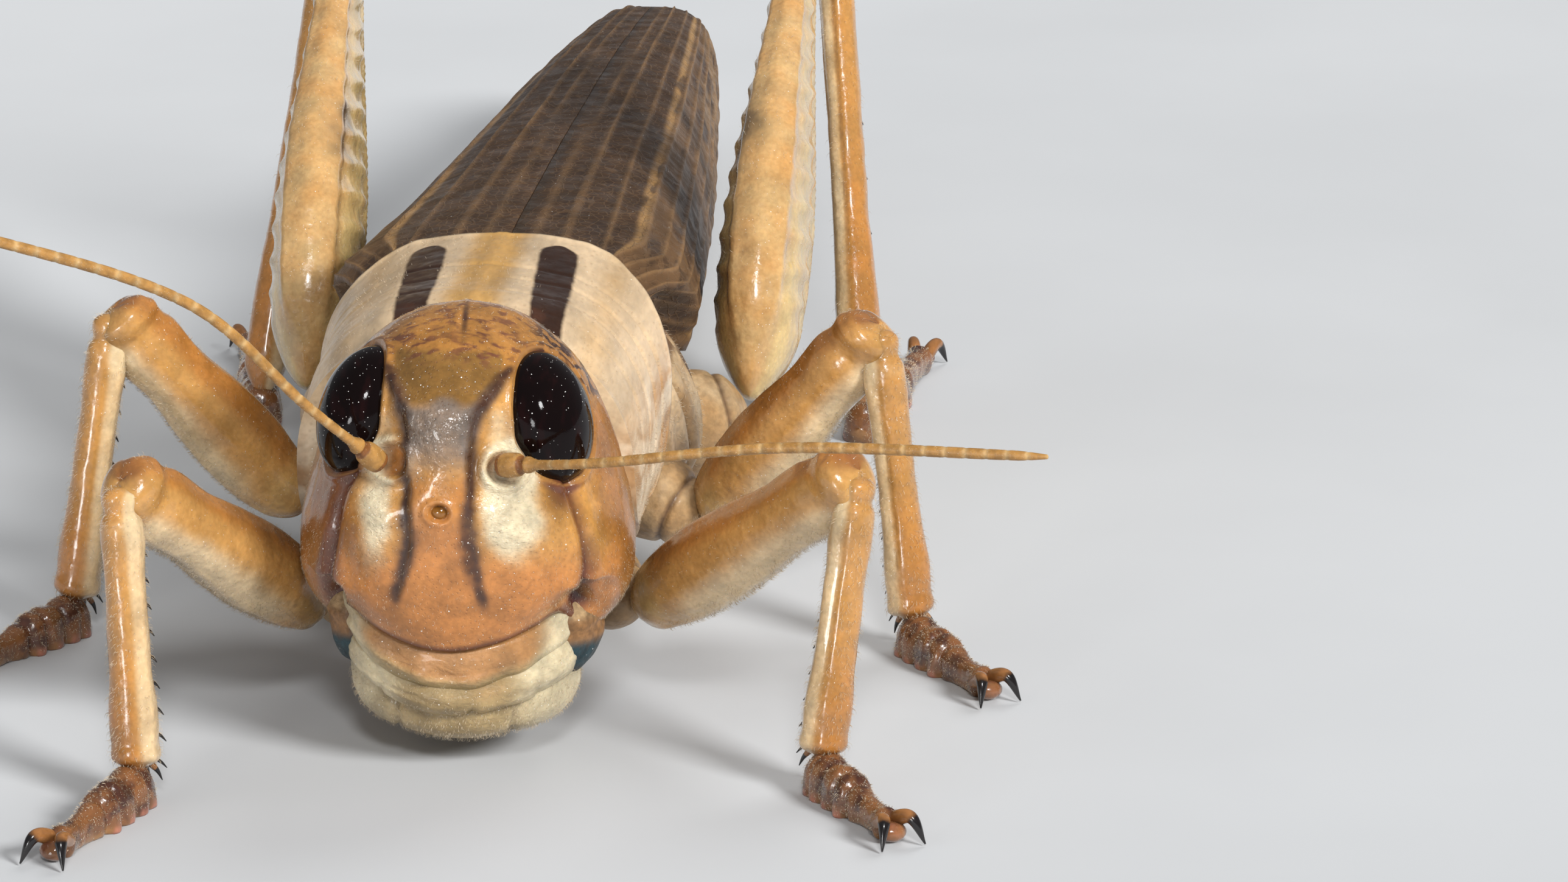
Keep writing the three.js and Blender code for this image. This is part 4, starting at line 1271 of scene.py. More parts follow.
def make_mouth():
    finish, jaw = mouth_finish(), jaw_finish()
    lips = {"clypeus": clypeus_patch(), "labrum": labrum_patch(), "labium": labium_patch()}
    for name, patch in lips.items():
        build(f"{name}_plate", [patch.moved(on_head)], finish, [name])
    for name, side in SIDES:
        shell_patch = mandible_patch(side).moved(on_head)
        build(f"mandible_{name}_shell", [shell_patch], jaw, [f"mandible_{name}"])
    make_palps(finish)
    return lips


# ---------------- pronotum

PRONOTUM_STATIONS = [5.0, 7, 9.5, 12, 14.2]
pronotum_wide = smooth(PRONOTUM_STATIONS, [4.15, 4.3, 4.35, 4.55, 4.8])
pronotum_top = smooth(PRONOTUM_STATIONS, [10.1, 10.4, 10.2, 10.05, 9.95])
PRONOTUM_MIDDLE, PRONOTUM_BASE, PRONOTUM_SQUARE = 6.3, 1.6, 2.4
PRONOTUM_TURN = math.radians(123)  # how far its section reaches down each side
PRONOTUM_THICK = 0.35
pronotum_front = smooth([3.5, 3.7, 4.3, 5.2, 6.5, 8.5, 11], [9.2, 8.5, 7.4, 5.9, 5.3, 5.0, 5.0])
pronotum_rear = smooth(
    [3.5, 3.7, 4.4, 6.5, 8.4, 9.3, 9.8, 11],
    [9.7, 10.5, 11.3, 11.9, 12.6, 13.4, 14.2, 14.2],
)
# Half the width of the dark bands along the top.
band_half = smooth([5.0, 7.0, 8.5, 10.8, 12.0, 13.0, 13.7], [0.38, 0.42, 0.45, 0.48, 0.48, 0.42, 0.0])
# Cross grooves of the shell: place, slant and depth.
GROOVES = ((6.7, 0.1, 0.02), (8.1, 0.16, 0.035), (9.6, 0.12, 0.04), (10.9, 0.05, 0.05))


def pronotum_point(y, turn, inset):
    top = pronotum_top(y) - PRONOTUM_MIDDLE
    reach = np.where(np.cos(turn) > 0, top, PRONOTUM_MIDDLE - PRONOTUM_BASE) - inset
    x = (pronotum_wide(y) - inset) * rounded(np.sin(turn), PRONOTUM_SQUARE)
    z = PRONOTUM_MIDDLE + reach * rounded(np.cos(turn), PRONOTUM_SQUARE)
    return joined(x, y, z)


def pronotum_face(rows, cols, inset):
    """One face of the shell, with the share of the way from its front edge to its rear edge."""
    turn = np.linspace(-1, 1, cols)[None, :] * PRONOTUM_TURN
    z = pronotum_point(np.full_like(turn, 9.5), turn, 0)[..., 2]
    along = np.linspace(0, 1, rows)[:, None]
    y = pronotum_front(z) + (pronotum_rear(z) - pronotum_front(z)) * along
    return pronotum_point(y, turn + 0 * y, inset), along + 0 * y


def shell(outer, inner):
    """Joins an outer and an inner sheet of the same size into one closed patch."""
    return Patch(np.concatenate([outer, inner[:, ::-1]], axis=1))


def both_faces(**masks):
    """The masks of a sheet for the shell made from it."""
    return {name: np.concatenate([values, values[:, ::-1]], axis=1) for name, values in masks.items()}


def pronotum_relief(p, along):
    x, y, z = xyz(p)
    side = np.abs(x)
    up = 0.1 * hump(x, 0, 0.08)
    up += 0.03 * hump(side, 2.2, 0.25)
    for place, slant, depth in GROOVES:
        line = place + slant * np.maximum(side - 1.5, 0) - 0.05 * (9 - z) * (place > 9)
        groove = hump(y, line, 0.12) * (0.8 + 1.2 * ramp(side, 3.0, 3.9))
        up -= depth * groove * np.where(place > 10, 1.0, ramp(side, 0.3, 1.0)) * ramp(z, 3.0, 4.2)
    up += 0.06 * hump(along, 0.0, 0.03) + 0.05 * hump(along, 1.0, 0.02)
    return up + (0.04 * rough_noise(p, 0.7, 2, 41) + 0.01 * rough_noise(p, 3.0, 2, 42) * ramp(y, 9, 11))


def pronotum_marks(p, along):
    """Masks of the dark bands, the ochre between them, the pale sides, the lower edge and the grooves."""
    x, y, z = xyz(p)
    side = np.abs(x)
    off_band = np.abs(np.abs(x - 0.06 + 0.05 * (y - 10)) - 1.7) - band_half(y)
    seam = 0.4 * hump(y, 10.9, 0.05) + 0.4 * hump(along, 1.0, 0.01) + 0.25 * hump(along, 0.0, 0.01)
    seam = seam + 0.5 * hump(side, 0.0, 0.05) * hump(y, 8.4, 0.9)
    seam = seam + 0.4 * spot(side, y, (1.6, 6.5), (0.5, 0.7), 0.8)
    return {
        "band": fall(off_band, -0.2, 0.2) * ramp(z, 7.8, 8.6) * ramp(band_half(y), 0.02, 0.2),
        "ochre": fall(side, 0.2, 1.2) * ramp(z, 8, 9) + 0.45 * hump(side, 3.1, 0.5) * ramp(z, 7, 8),
        "side": fall(z, 6.8, 8.6),
        "hem": fall(z, 3.6, 5.6),
        "seam": seam,
    }


def make_pronotum():
    rows, cols = 130, 250
    outer, along = pronotum_face(rows, cols, 0.0)
    inner, _ = pronotum_face(rows, cols, PRONOTUM_THICK)
    sheet = Patch(outer, closed=False)
    outer = outer + sheet.normals() * pronotum_relief(outer, along)[..., None]
    marks = pronotum_marks(outer, along)
    patch = shell(outer, inner).paint(**both_faces(**marks))
    build("pronotum_shell", [patch], pronotum_finish(), ["pronotum"])
    return sheet, along, marks["band"]


# ---------------- thorax, abdomen and coxae

THORAX = [6.7, 8, 10, 12, 14, 16, 18, 20.4]
thorax_wide = smooth(THORAX, [2.5, 3.3, 3.6, 3.75, 4.5, 4.95, 4.5, 3.8])
thorax_top = smooth(THORAX, [9.0, 9.4, 9.4, 9.2, 8.9, 8.5, 8.0, 7.5])
thorax_middle = smooth(THORAX, [6.0, 5.9, 5.6, 5.0, 4.4, 4.0, 4.0, 4.4])
thorax_low = smooth(THORAX, [3.6, 2.7, 2.2, 2.0, 1.8, 1.7, 1.8, 2.1])
ABDOMEN = [20.4, 24, 30, 36, 40, 43.2]
abdomen_wide = smooth(ABDOMEN, [3.4, 3.45, 3.1, 2.6, 2.15, 1.6])
abdomen_top = smooth(ABDOMEN, [7.4, 7.4, 6.9, 6.1, 5.4, 4.4])
abdomen_low = smooth(ABDOMEN, [2.0, 1.6, 1.3, 1.1, 1.05, 1.3])
RINGS = 8
TRUNK_SQUARE = 2.1


def abdomen_middle(y):
    return (abdomen_top(y) + abdomen_low(y)) / 2


def trunk(y, cols, wide, top, middle, low):
    """A closed patch along the body, from curves of its half width and its levels."""
    y = y[:, None]
    angle = np.linspace(0, 2 * math.pi, cols, endpoint=False)[None, :]
    reach = np.where(np.sin(angle) > 0, top(y) - middle(y), middle(y) - low(y))
    x = wide(y) * rounded(np.cos(angle), TRUNK_SQUARE)
    z = middle(y) + reach * rounded(np.sin(angle), TRUNK_SQUARE)
    return Patch(joined(x, y + 0 * x, z))


# The seams between the plates of the thorax's sides, as points (y, z).
PLEURA = (
    [(11.9, 8.6), (12.6, 6.4), (13.2, 4.4), (13.6, 2.6)],
    [(13.6, 8.4), (14.3, 6.4), (14.9, 4.4), (15.2, 2.4)],
    [(15.6, 8.2), (16.2, 6.2), (16.9, 4.2), (17.3, 2.4)],
    [(17.6, 7.8), (18.4, 6.0), (19.2, 4.2), (19.6, 2.6)],
)
# Dark spots on the sides as (y, z): strength, centre, half sizes and softness of the edge.
THORAX_SPOTS = (
    (0.7, (12.9, 7.2), (0.7, 0.9), 0.5),
    (0.7, (14.9, 7.4), (0.6, 0.6), 0.5),
    (0.7, (16.6, 5.6), (0.4, 0.9), 0.5),
)
# Grooves across the underside, as places along the body.
VENTRAL_GROOVES = (11.6, 15.4, 18.4)


def thorax_patch():
    y = np.linspace(THORAX[0], THORAX[-1], 160)
    patch = trunk(y, 180, thorax_wide, thorax_top, thorax_middle, thorax_low)
    x, y, z = xyz(patch.points)
    side = ramp(np.abs(x), 2.2, 3.2)
    up = 0.08 * rough_noise(patch.points, 0.5, 3, 51)
    seam = np.zeros(patch.shape)
    for k, line in enumerate(PLEURA):
        away = to_line(y, z, line)
        up = up + side * (0.1 * hump(away, 0.4, 0.3) - 0.2 * hump(away, 0, 0.12))
        seam = seam + side * hump(away, 0, 0.1 if k % 2 else 0.16)
    up = up - 0.12 * hump(np.abs(x), 1.6, 0.14) * fall(z, 2.2, 3.0)
    for place in VENTRAL_GROOVES:
        up = up - 0.12 * hump(y, place, 0.14) * fall(z, 2.0, 3.0)
        seam = seam + 0.6 * hump(y, place, 0.1) * fall(z, 2.0, 2.8)
    patch.swell(up)
    upper = side * ramp(z, 5.6, 7.2) * ramp(y, 11.0, 12.5)
    return patch.paint(
        pale=0.7 * side,
        belly=fall(z, 2.2, 3.2),
        seam=0.9 * seam,
        dark=side * all_spots(y, z, THORAX_SPOTS) + 0.55 * upper,
        back=ramp(z, 8.2, 8.8) + upper,
    )


def abdomen_patch():
    y = np.linspace(20.35, 43.25, 390)
    patch = trunk(y, 130, abdomen_wide, abdomen_top, abdomen_middle, abdomen_low)
    x, y, z = xyz(patch.points)
    middle = abdomen_middle(y)
    level = (z - middle) / (abdomen_top(y) - abdomen_low(y)) * 2
    ring = (y - ABDOMEN[0]) / (ABDOMEN[-1] - ABDOMEN[0]) * RINGS
    through = ring - np.floor(ring)
    step = 0.16 * through**1.5 - 0.22 * ramp(through, 0.955, 1.0)
    fold = hump(level, -0.42, 0.08)
    up = step * (1 - 0.6 * fold) - 0.2 * fold + 0.06 * hump(level, -0.25, 0.1)
    up = up + 0.05 * hump(x, 0, 0.12) * ramp(z, middle, middle + 1)
    up = up + 0.03 * rough_noise(patch.points, 1.2, 3, 55)
    spiracle = np.hypot((through - 0.22) / 0.07, (level + 0.22) / 0.06)
    up = up - 0.1 * fall(spiracle, 0.4, 1.0) + 0.05 * hump(spiracle, 1.3, 0.3)
    patch.swell(up - 0.05)
    spots = fall(np.abs(through - 0.3), 0.15, 0.3) * hump(level, 0.28, 0.2)
    return patch.paint(
        belly=fall(level, -0.5, -0.3),
        back=ramp(level, 0.1, 0.7) * (1 - 0.7 * ramp(through, 0.75, 0.95)),
        dark=0.75 * spots + 0.8 * fall(spiracle, 0.3, 0.9),
        pale=0.7 * ramp(through, 0.8, 0.95),
        seam=0.6 * ramp(through, 0.975, 1.0) + 0.5 * fold,
    )


PLATE_SIZES = ([1.55, 1.4, 1.15, 0.65], [1.45, 1.3, 1.05, 0.55])
VALVE_SIZES = ([0.45, 0.42, 0.36, 0.22, 0.1], [0.35, 0.33, 0.28, 0.2, 0.1])


def valve_tube(side, lift, start):
    root = (side * 0.4, start + 0.2, 2.6 + lift * 0.3)
    middle = (side * 0.42, start + 1.7, 2.55 + lift * 0.32)
    tip = (side * 0.45, start + 2.6, 2.5 + lift * 0.75)
    valve = Tube([root, middle, tip], ACROSS, *VALVE_SIZES, 50, 24, ends=(0.05, 0.03))
    return valve.paint(dark=ramp(valve.t, 0.8, 0.95))


def tip_patches():
    """The last plate of the abdomen, with its two cerci and its four ovipositor valves."""
    start, level = 43.28, 2.85
    plate = [(0, start - 0.4, level), (0, start + 1.5, level)]
    patches = [Tube(plate, ACROSS, *PLATE_SIZES, 50, 60, ends=(0, 0.25))]
    for side in (-1, 1):
        cercus = [(side * 0.8, start + 0.1, 3.1), (side * 1.45, start + 1.7, 3.15)]
        patches.append(Tube(cercus, UP, [0.36, 0.34, 0.26, 0.12], rows=40, cols=24))
        patches += [valve_tube(side, lift, start) for lift in (-1, 1)]
    for patch in patches:
        patch.swell(0.03 * rough_noise(patch.points, 1.5, 3, 57))
    return patches


# ---------------- wings

WING_STATIONS = [14.5, 18, 24, 30, 37, 44, 52, 58, TEGMEN_TIP]
wing_wide = smooth(WING_STATIONS, [5.0, 4.85, 4.45, 4.1, 3.7, 3.2, 2.6, 2.0, 1.1])
wing_top = smooth(WING_STATIONS, [9.5, 9.3, 8.8, 8.3, 7.6, 6.9, 5.9, 5.0, 4.2])
wing_low = smooth(WING_STATIONS, [7.2, 5.7, 4.2, 3.2, 2.4, 1.9, 1.6, 2.0, 3.0])
WING_SQUARE, WING_GAP = 3.2, 0.015
VEINS = (0.08, 0.17, 0.3, 0.42, 0.5, 0.57, 0.65, 0.72, 0.8, 0.88, 0.95)  # shares of the section
WING_THICK = 0.3
WING_TUCK, WING_CURL = 1.05, 0.5  # how far the front corner and the lower edge turn in
WING_END = vec(0.5, 0, 3.4)  # where the wings narrow to at their tips
# start and end along the body, slant of the front edge, fold as a share of a quarter turn.
TEGMEN = {"start": 14.5, "end": TEGMEN_TIP, "slant": 1.9, "fold": 1, "inset": 0, "rows": 260, "cols": 86}
HINDWING = {"start": 20, "end": 58, "slant": 0, "fold": 0.6, "inset": 0.74, "rows": 110, "cols": 44}


def wing_face(start, end, slant, fold, inset, rows, cols):
    """One face of a right-handed wing, from the ridge outwards, with the share of its turn."""
    share = np.linspace(0, 1, cols)[None, :]
    first = start - slant * (ramp(share, 0.1, 0.7) - 1.7 * ramp(share, 0.72, 1.0))
    y = first + (end - first) * np.linspace(0, 1, rows)[:, None]
    turn = share * fold * math.pi / 2
    x = WING_GAP + (wing_wide(y) - inset - WING_GAP) * rounded(np.sin(turn), WING_SQUARE)
    drop = wing_top(y) - wing_low(y)
    z = wing_low(y) + (drop - inset) * rounded(np.cos(turn), WING_SQUARE)
    return joined(x, y, z), share + 0 * y


def even_share(share):
    """Where a share of the wing's turn lies across its spread width, from 0 to 1."""
    turn = np.linspace(0, 1, 200) * math.pi / 2
    x, z = rounded(np.sin(turn), WING_SQUARE), rounded(np.cos(turn), WING_SQUARE)
    reach = np.concatenate([[0], np.cumsum(np.hypot(np.diff(x), np.diff(z)))])
    return np.interp(share, np.linspace(0, 1, 200), reach / reach[-1])


def vein_mask(spread, fan):
    """Veins along the wing, drawing together by fan towards its middle."""
    vein = np.zeros(spread.shape)
    for k, place in enumerate(VEINS):
        target = place + (0.5 - place) * fan * (1 if place > 0.35 else 0.3)
        vein = np.maximum(vein, hump(spread, target, 0.0085) * (1 if k % 2 else 0.75))
    return vein


def wing_patch(side, wing, vein_height):
    outer, share = wing_face(**wing)
    inner, _ = wing_face(**wing | {"inset": wing["inset"] + WING_THICK})
    start, end = wing["start"], wing["end"]
    spread = even_share(share * wing["fold"])
    y = outer[..., 1]
    vein = vein_mask(spread, ramp(y, start + 8, end) * 0.35)
    up = vein_height * vein + 0.03 * rough_noise(outer, 0.5, 2, 61)
    outer = outer + Patch(outer, closed=False).normals() * up[..., None]
    pinch = np.sqrt(1 - np.clip((y - end + 4.5) / 4.5, 0, 0.995) ** 2.4)
    tuck = fall(y, y[0], y[0] + 3.5) * ramp(spread, 0.3, 0.5)
    for face in (outer, inner):
        face[..., 0] -= WING_TUCK * tuck + WING_CURL * ramp(spread, 0.76, 1.05)
        face[..., 2] += 0.2 * tuck
        for axis in (0, 2):
            face[..., axis] = WING_END[axis] + (face[..., axis] - WING_END[axis]) * pinch
        face[..., 0] *= side
    return shell(outer, inner).paint(**both_faces(
        vein=vein,
        back=fall(spread, 0.34, 0.44),
        streak=hump(spread, 0.9, 0.05) + 0.7 * hump(spread, 0.4, 0.035),
        pale=ramp(y, start, end) * ramp(spread, 0.4, 0.6),
        spots=ramp(spread, 0.42, 0.5),
    ))


def make_wings():
    fore, hind = tegmen_finish(), hindwing_finish()
    for name, side in SIDES:
        build(f"tegmen_{name}_sheet", [wing_patch(side, TEGMEN, 0.07)], fore, [f"tegmen_{name}"])
        folded = wing_patch(side, HINDWING, 0.05)
        build(f"hindwing_{name}_sheet", [folded], hind, [f"hindwing_{name}"])


# ---------------- legs

# The root, hip, knee, heel and toe of each leg.
FORE_RIGHT = [(-2.4, 8.4, 3.1), (-3.7, 6.2, 2.3), (-7.77, 0, 7.72), (-7.3, -1.5, 1.0), (-8.6, -5.2, 0.32)]
FORE_LEFT = [(2.4, 8.4, 3.1), (4.1, 6.4, 2.4), (10.0, 2, 7.75), (9.2, 0.5, 1.0), (11.0, -2.6, 0.32)]
MIDDLE = [(3.4, 14.2, 3.2), (5.2, 13.6, 2.4), (9.9, 12, 8.4), (10.9, 10.6, 1.0), (12.9, 7.4, 0.32)]
HIND = [(3.9, 18.4, 3.4), (6.0, 19.2, 3.7), (6.7, 38.4, 17.6), (8.6, 28.2, 1.1), (9.9, 35.0, 0.36)]


def mirrored(points, side):
    return [(side * x, y, z) for x, y, z in points]


# Each leg's name, if it is a jumping leg, its side and its places.
LEGS = [("fore_leg_right", False, -1, FORE_RIGHT), ("fore_leg_left", False, 1, FORE_LEFT)]
for side_name, side in reversed(SIDES):
    LEGS.append((f"mid_leg_{side_name}", False, side, mirrored(MIDDLE, side)))
    LEGS.append((f"hind_leg_{side_name}", True, side, mirrored(HIND, side)))

# Half widths and depths along each piece.
WALKING = {
    "coxa": [0.95, 1.2, 1.05, 0.7],
    "femur": ([0.55, 0.85, 0.95, 0.9, 0.8, 0.75, 0.6], [0.6, 0.95, 1.1, 1.05, 0.9, 0.95, 0.75]),
    "tibia": ([0.4, 0.52, 0.48, 0.5, 0.52, 0.6, 0.5], [0.45, 0.55, 0.5, 0.5, 0.52, 0.6, 0.5]),
    "tarsus": (
        [0.6, 0.75, 0.66, 0.72, 0.6, 0.42, 0.38, 0.4],
        [0.42, 0.55, 0.48, 0.52, 0.46, 0.3, 0.28, 0.32],
    ),
    "spines": {"first": 0.24, "count": 9, "rows": (-1.2,), "shortest": 0.28, "thick": 0.07},
}
JUMPING = {
    "coxa": [1.3, 1.5, 1.3, 0.8],
    "femur": (
        [0.7, 1.15, 1.25, 1.2, 1.0, 0.8, 0.65, 0.6, 0.7, 0.75, 0.6],
        [1.0, 2.1, 2.75, 2.75, 2.4, 1.9, 1.4, 1.1, 1.15, 1.25, 0.9],
    ),
    "tibia": ([0.5, 0.7, 0.55, 0.5, 0.5, 0.52, 0.62, 0.5], [0.55, 0.8, 0.65, 0.6, 0.6, 0.6, 0.7, 0.5]),
    "tarsus": (
        [0.65, 0.8, 0.7, 0.75, 0.6, 0.45, 0.4, 0.42],
        [0.5, 0.62, 0.55, 0.56, 0.5, 0.36, 0.32, 0.36],
    ),
    "spines": {"first": 0.22, "count": 10, "rows": (-0.75, 0.75), "shortest": 0.4, "thick": 0.085},
}


def top_of(tube):
    """1 along the upper edge of a limb and -1 along the lower one."""
    return np.sin(tube.angle) * (1 if tube.up[0][2] > 0 else -1)


def femur_tube(jumps, side, hip, knee, flat, sizes):
    rows, cols = (200, 90) if jumps else (120, 60)
    tube = Tube([hip + (knee - hip) * 0.02, knee], flat, *sizes["femur"], rows, cols, ends=(0.1, 0.045))
    t, face = tube.t, np.abs(np.cos(tube.angle))
    up = 0.1 * hump(t, 0.955, 0.035) * ramp(face, 0.5, 0.9) - 0.06 * hump(t, 0.87, 0.03)
    up = up + 0.03 * rough_noise(tube.points, 1.0, 3, 71)
    more = jumping_relief(tube, side, top_of(tube), face) if jumps else walking_relief(tube, top_of(tube))
    return tube.swell(up + more)


def jumping_relief(tube, side, top, face):
    """Paints a hind femur, and gives its chevrons and the ridges beside them."""
    t = tube.t
    flat_face = ramp(face, 0.45, 0.75) * ramp(t, 0.06, 0.14) * fall(t, 0.78, 0.86)
    chevron = 0.5 + 0.5 * np.cos(2 * math.pi * (t * 22 + 1.6 * np.abs(top)))
    inside = -side * np.sign(tube.across[0][0]) * np.cos(tube.angle)
    dark = sum(spot(t, top, (place, 0.9), (0.07, 0.5), 0.7) for place in (0.3, 0.58))
    dark = dark * (0.55 + 0.45 * inside) + 0.5 * hump(np.abs(top), 0.8, 0.03) * (face > 0.3) * flat_face
    tube.paint(
        yellow=0.75 - 0.35 * ramp(top, 0.5, 0.9),
        pale=0.4 + 0.5 * ramp(-top, 0.3, 0.9),
        dark=0.65 * dark,
        knee=0.9 * ramp(t, 0.91, 0.975) + 0.3 * flat_face * (1 - chevron),
        red=0.3 * ramp(top, 0.4, 0.9),
    )
    ridges = 0.12 * hump(np.abs(top), 0.86, 0.07) * ramp(t, 0.03, 0.1) * fall(t, 0.85, 0.9)
    return 0.1 * flat_face * chevron**2 - 0.08 * flat_face + ridges


def walking_relief(tube, top):
    """Paints a fore or middle femur, and gives its edges and its swollen end."""
    t = tube.t
    tube.paint(
        red=ramp(top, 0.0, 0.9) * (0.6 + 0.4 * hump(t, 0.6, 0.5)),
        pale=ramp(-top, -0.1, 0.9) * fall(t, 0.85, 0.95) * ramp(t, 0.05, 0.35),
        knee=0.4 * hump(t, 0.9, 0.01) + 0.6 * ramp(t, 0.95, 0.985) * ramp(top, -0.6, 0.6),
        yellow=0.5 * hump(t, 0.1, 0.15),
    )
    edges = 0.05 * hump(np.abs(top), 0.95, 0.05) * fall(t, 0.85, 0.95)
    return edges + 0.08 * hump(t, 0.925, 0.02) * ramp(top, -0.6, 0.4)


def tibia_tube(side, knee, ankle, flat, sizes):
    tube = Tube([knee + (ankle - knee) * 0.015, ankle], flat, *sizes["tibia"], 130, 44, ends=(0.04, 0.075))
    t, front = tube.t, np.sin(tube.angle)
    inner = -side * tube.normals()[..., 0]
    up = 0.035 * rough_noise(tube.points, 1.2, 3, 73) + 0.08 * hump(t, 0.955, 0.02)
    up = up + 0.05 * hump(inner, 0.8, 0.14) - 0.05 * hump(inner, 0.35, 0.14) * hump(t, 0.5, 0.4)
    up = up - 0.09 * hump(t, 0.09, 0.025) + 0.04 * hump(t, 0.93, 0.02) * np.abs(front)
    tube.paint(
        pale=0.75 * ramp(inner, 0.1, 0.6) + 0.3 * hump(t, 0.14, 0.05),
        red=(0.4 + 0.4 * ramp(t, 0.4, 1.0)) * ramp(-inner, -0.9, 0.1),
        knee=0.3 * fall(t, 0.02, 0.06) + 0.5 * ramp(t, 0.94, 0.99),
        dark=0.3 * hump(inner, 0.35, 0.08),
        yellow=0.25 * fall(t, 0.1, 0.5),
    )
    return tube.swell(up)


def tarsus_tube(heel, toe, sizes):
    foot = heel - 0.06 * (toe - heel)
    foot[2] = heel[2] - 0.62
    tube = Tube([foot, (foot + toe) / 2, toe], UP, *sizes["tarsus"], rows=150, cols=48, square=2.2)
    t, upright = tube.t, np.cos(tube.angle) * (1 if tube.across[0][2] > 0 else -1)
    under = ramp(-upright, -0.15, 0.6)
    pads = sum(hump(t, place, 0.05) for place in (0.07, 0.2, 0.34, 0.51))
    waist = hump(t, 0.435, 0.025) + 0.9 * hump(t, 0.58, 0.03)
    up = 0.04 * rough_noise(tube.points, 2.2, 3, 75) + 0.11 * pads * under - 0.13 * waist
    up = up - 0.05 * (hump(t, 0.135, 0.02) + hump(t, 0.27, 0.02)) + 0.05 * hump(t, 0.97, 0.05)
    return tube.swell(up).on_floor().paint(
        foot=0.95 - 0.3 * under,
        pad=under * fall(t, 0.55, 0.65) * ramp(pads, 0.2, 0.8),
        knee=0.7 * waist * (1 - under),
        dark=0.45 * ramp(t, 0.93, 1.0),
    )


def spike(root, bend, tip, radius):
    middle = (root + tip) / 2 + bend
    wide = [radius, radius * 0.85, radius * 0.5, 0.012]
    tube = Tube([root, middle, tip], vec(0.3, 0.2, 0.9), wide, rows=14, cols=10, ends=(0, 0))
    return tube.on_floor().paint(tip=ramp(tube.t, 0.25, 0.55))


def spines(side, knee, ankle, width, first, count, rows, shortest, thick):
    """Rows of spines down the back of a tibia, and four spurs round its end."""
    along = unit(ankle - knee)
    outward = unit(vec(side, 0, 0) - along * side * along[0])
    behind = np.cross(along, outward)
    behind = behind if behind[1] > 0 else -behind
    made = []
    for row in rows:
        away = unit(behind + outward * row)
        for i in range(count):
            t = first + (0.96 - first) * i / (count - 1)
            root = knee + (ankle - knee) * t + away * 0.75 * width(t)
            tip = root + unit(away + along * 0.75) * (shortest + 0.3 * t)
            made.append(spike(root, away * 0.06, tip, thick))
    for turn in (-0.9, -0.3, 0.3, 0.9):
        away = unit(behind * math.cos(turn) + outward * math.sin(turn))
        root = ankle - along * 0.15 + away * 0.35
        made.append(spike(root, away * 0.05, root + unit(away * 0.7 + along) * 0.6, 0.09))
    return made


def claws(heel, toe):
    forward = unit((toe - heel) * vec(1, 1, 0))
    across = vec(-forward[1], forward[0], 0)
    made = []
    for turn in (-1, 1):
        root = toe - forward * 0.25 + across * 0.14 * turn + vec(0, 0, 0.05)
        middle = toe + forward * 0.45 + across * (0.36 * turn) + vec(0, 0, 0.34)
        tip = toe + forward * 0.8 + across * (0.58 * turn)
        tip[2] = 0.06
        claw = Tube([root, middle, tip], UP, [0.2, 0.2, 0.165, 0.1, 0.02], rows=40, cols=20, ends=(0.05, 0))
        made.append(claw.on_floor().paint(tip=ramp(claw.t, 0.35, 0.75)))
    return made


def foot_pad(heel, toe):
    """The soft lobe between the claws."""
    forward = unit((toe - heel) * vec(1, 1, 0))
    path = [toe + forward * reach + vec(0, 0, -0.05) for reach in (-0.2, 0.5)]
    wide, deep = [0.2, 0.22, 0.24, 0.2], [0.22, 0.28, 0.34, 0.28]
    return Tube(path, UP, wide, deep, 30, 28, ends=(0.1, 0.35)).on_floor().paint(foot=0.8, pad=0.4)


def make_legs():
    finish, claw = leg_finish(), claw_finish()
    coxae, furred = [], []
    for name, jumps, side, joints in LEGS:
        root, hip, knee, heel, toe = (vec(*p) for p in joints)
        sizes = JUMPING if jumps else WALKING
        level = unit(np.cross(UP, knee - hip))
        flat = vec(side, 0, 0) if jumps else level
        ankle = heel - vec(0, 0, 0.12)
        coxa = Tube([root - (hip - root) * 0.25, hip], UP, sizes["coxa"], rows=40, cols=36, ends=(0, 0.25))
        groove = hump(coxa.t, 0.72, 0.04)
        coxa.swell(0.05 * rough_noise(coxa.points, 1.0, 3, 77) - 0.1 * groove)
        coxae.append((f"{name}_coxa", coxa.paint(pale=0.45, seam=0.8 * groove)))
        femur = femur_tube(jumps, side, hip, knee, flat, sizes)
        tibia = tibia_tube(side, knee, ankle, flat, sizes)
        tarsus = tarsus_tube(heel, toe, sizes)
        parts = [f"{name}_femur", f"{name}_tibia", f"{name}_tarsus"]
        build(f"{name}_skin", [femur, tibia, tarsus, foot_pad(heel, toe)], finish, parts)
        points = spines(side, knee, ankle, evenly(sizes["tibia"][0]), **sizes["spines"])
        build(f"{name}_claws", claws(heel, toe) + points, claw)
        furred.append((name, femur, tibia, tarsus, unit(knee - hip), unit(ankle - knee), unit(toe - heel)))
    return coxae, furred


# ---------------- coats of hair


def coat_head(head, mouth, finish):
    patch, h, v, y = head
    off_eyes = math.prod(ramp(reach, 1.02, 1.1) for reach in eye_reaches(head_base()))
    low = ramp(-v, -0.5, 2.5) * ramp(np.abs(h - 0.2), 1.5, 3.2) + 0.25
    weight = low * off_eyes * fall(y, 4.6, 5.6)
    coat("head_hairs", [hairs(patch, weight, "head", 101, vec(0, -0.3, -1))], finish, "face")
    groups = []
    for k, (name, lip_patch) in enumerate(mouth.items()):
        _, y, z = xyz(lip_patch.points)
        weight = (ramp(-z, -3.6, -1.4) + 0.3) * fall(y, 2.8, 4.2)
        groups.append(hairs(lip_patch, weight, name, 110 + k, vec(0, -0.6, -0.8), (k, len(mouth))))
    coat("mouth_hairs", groups, finish, "mouth")


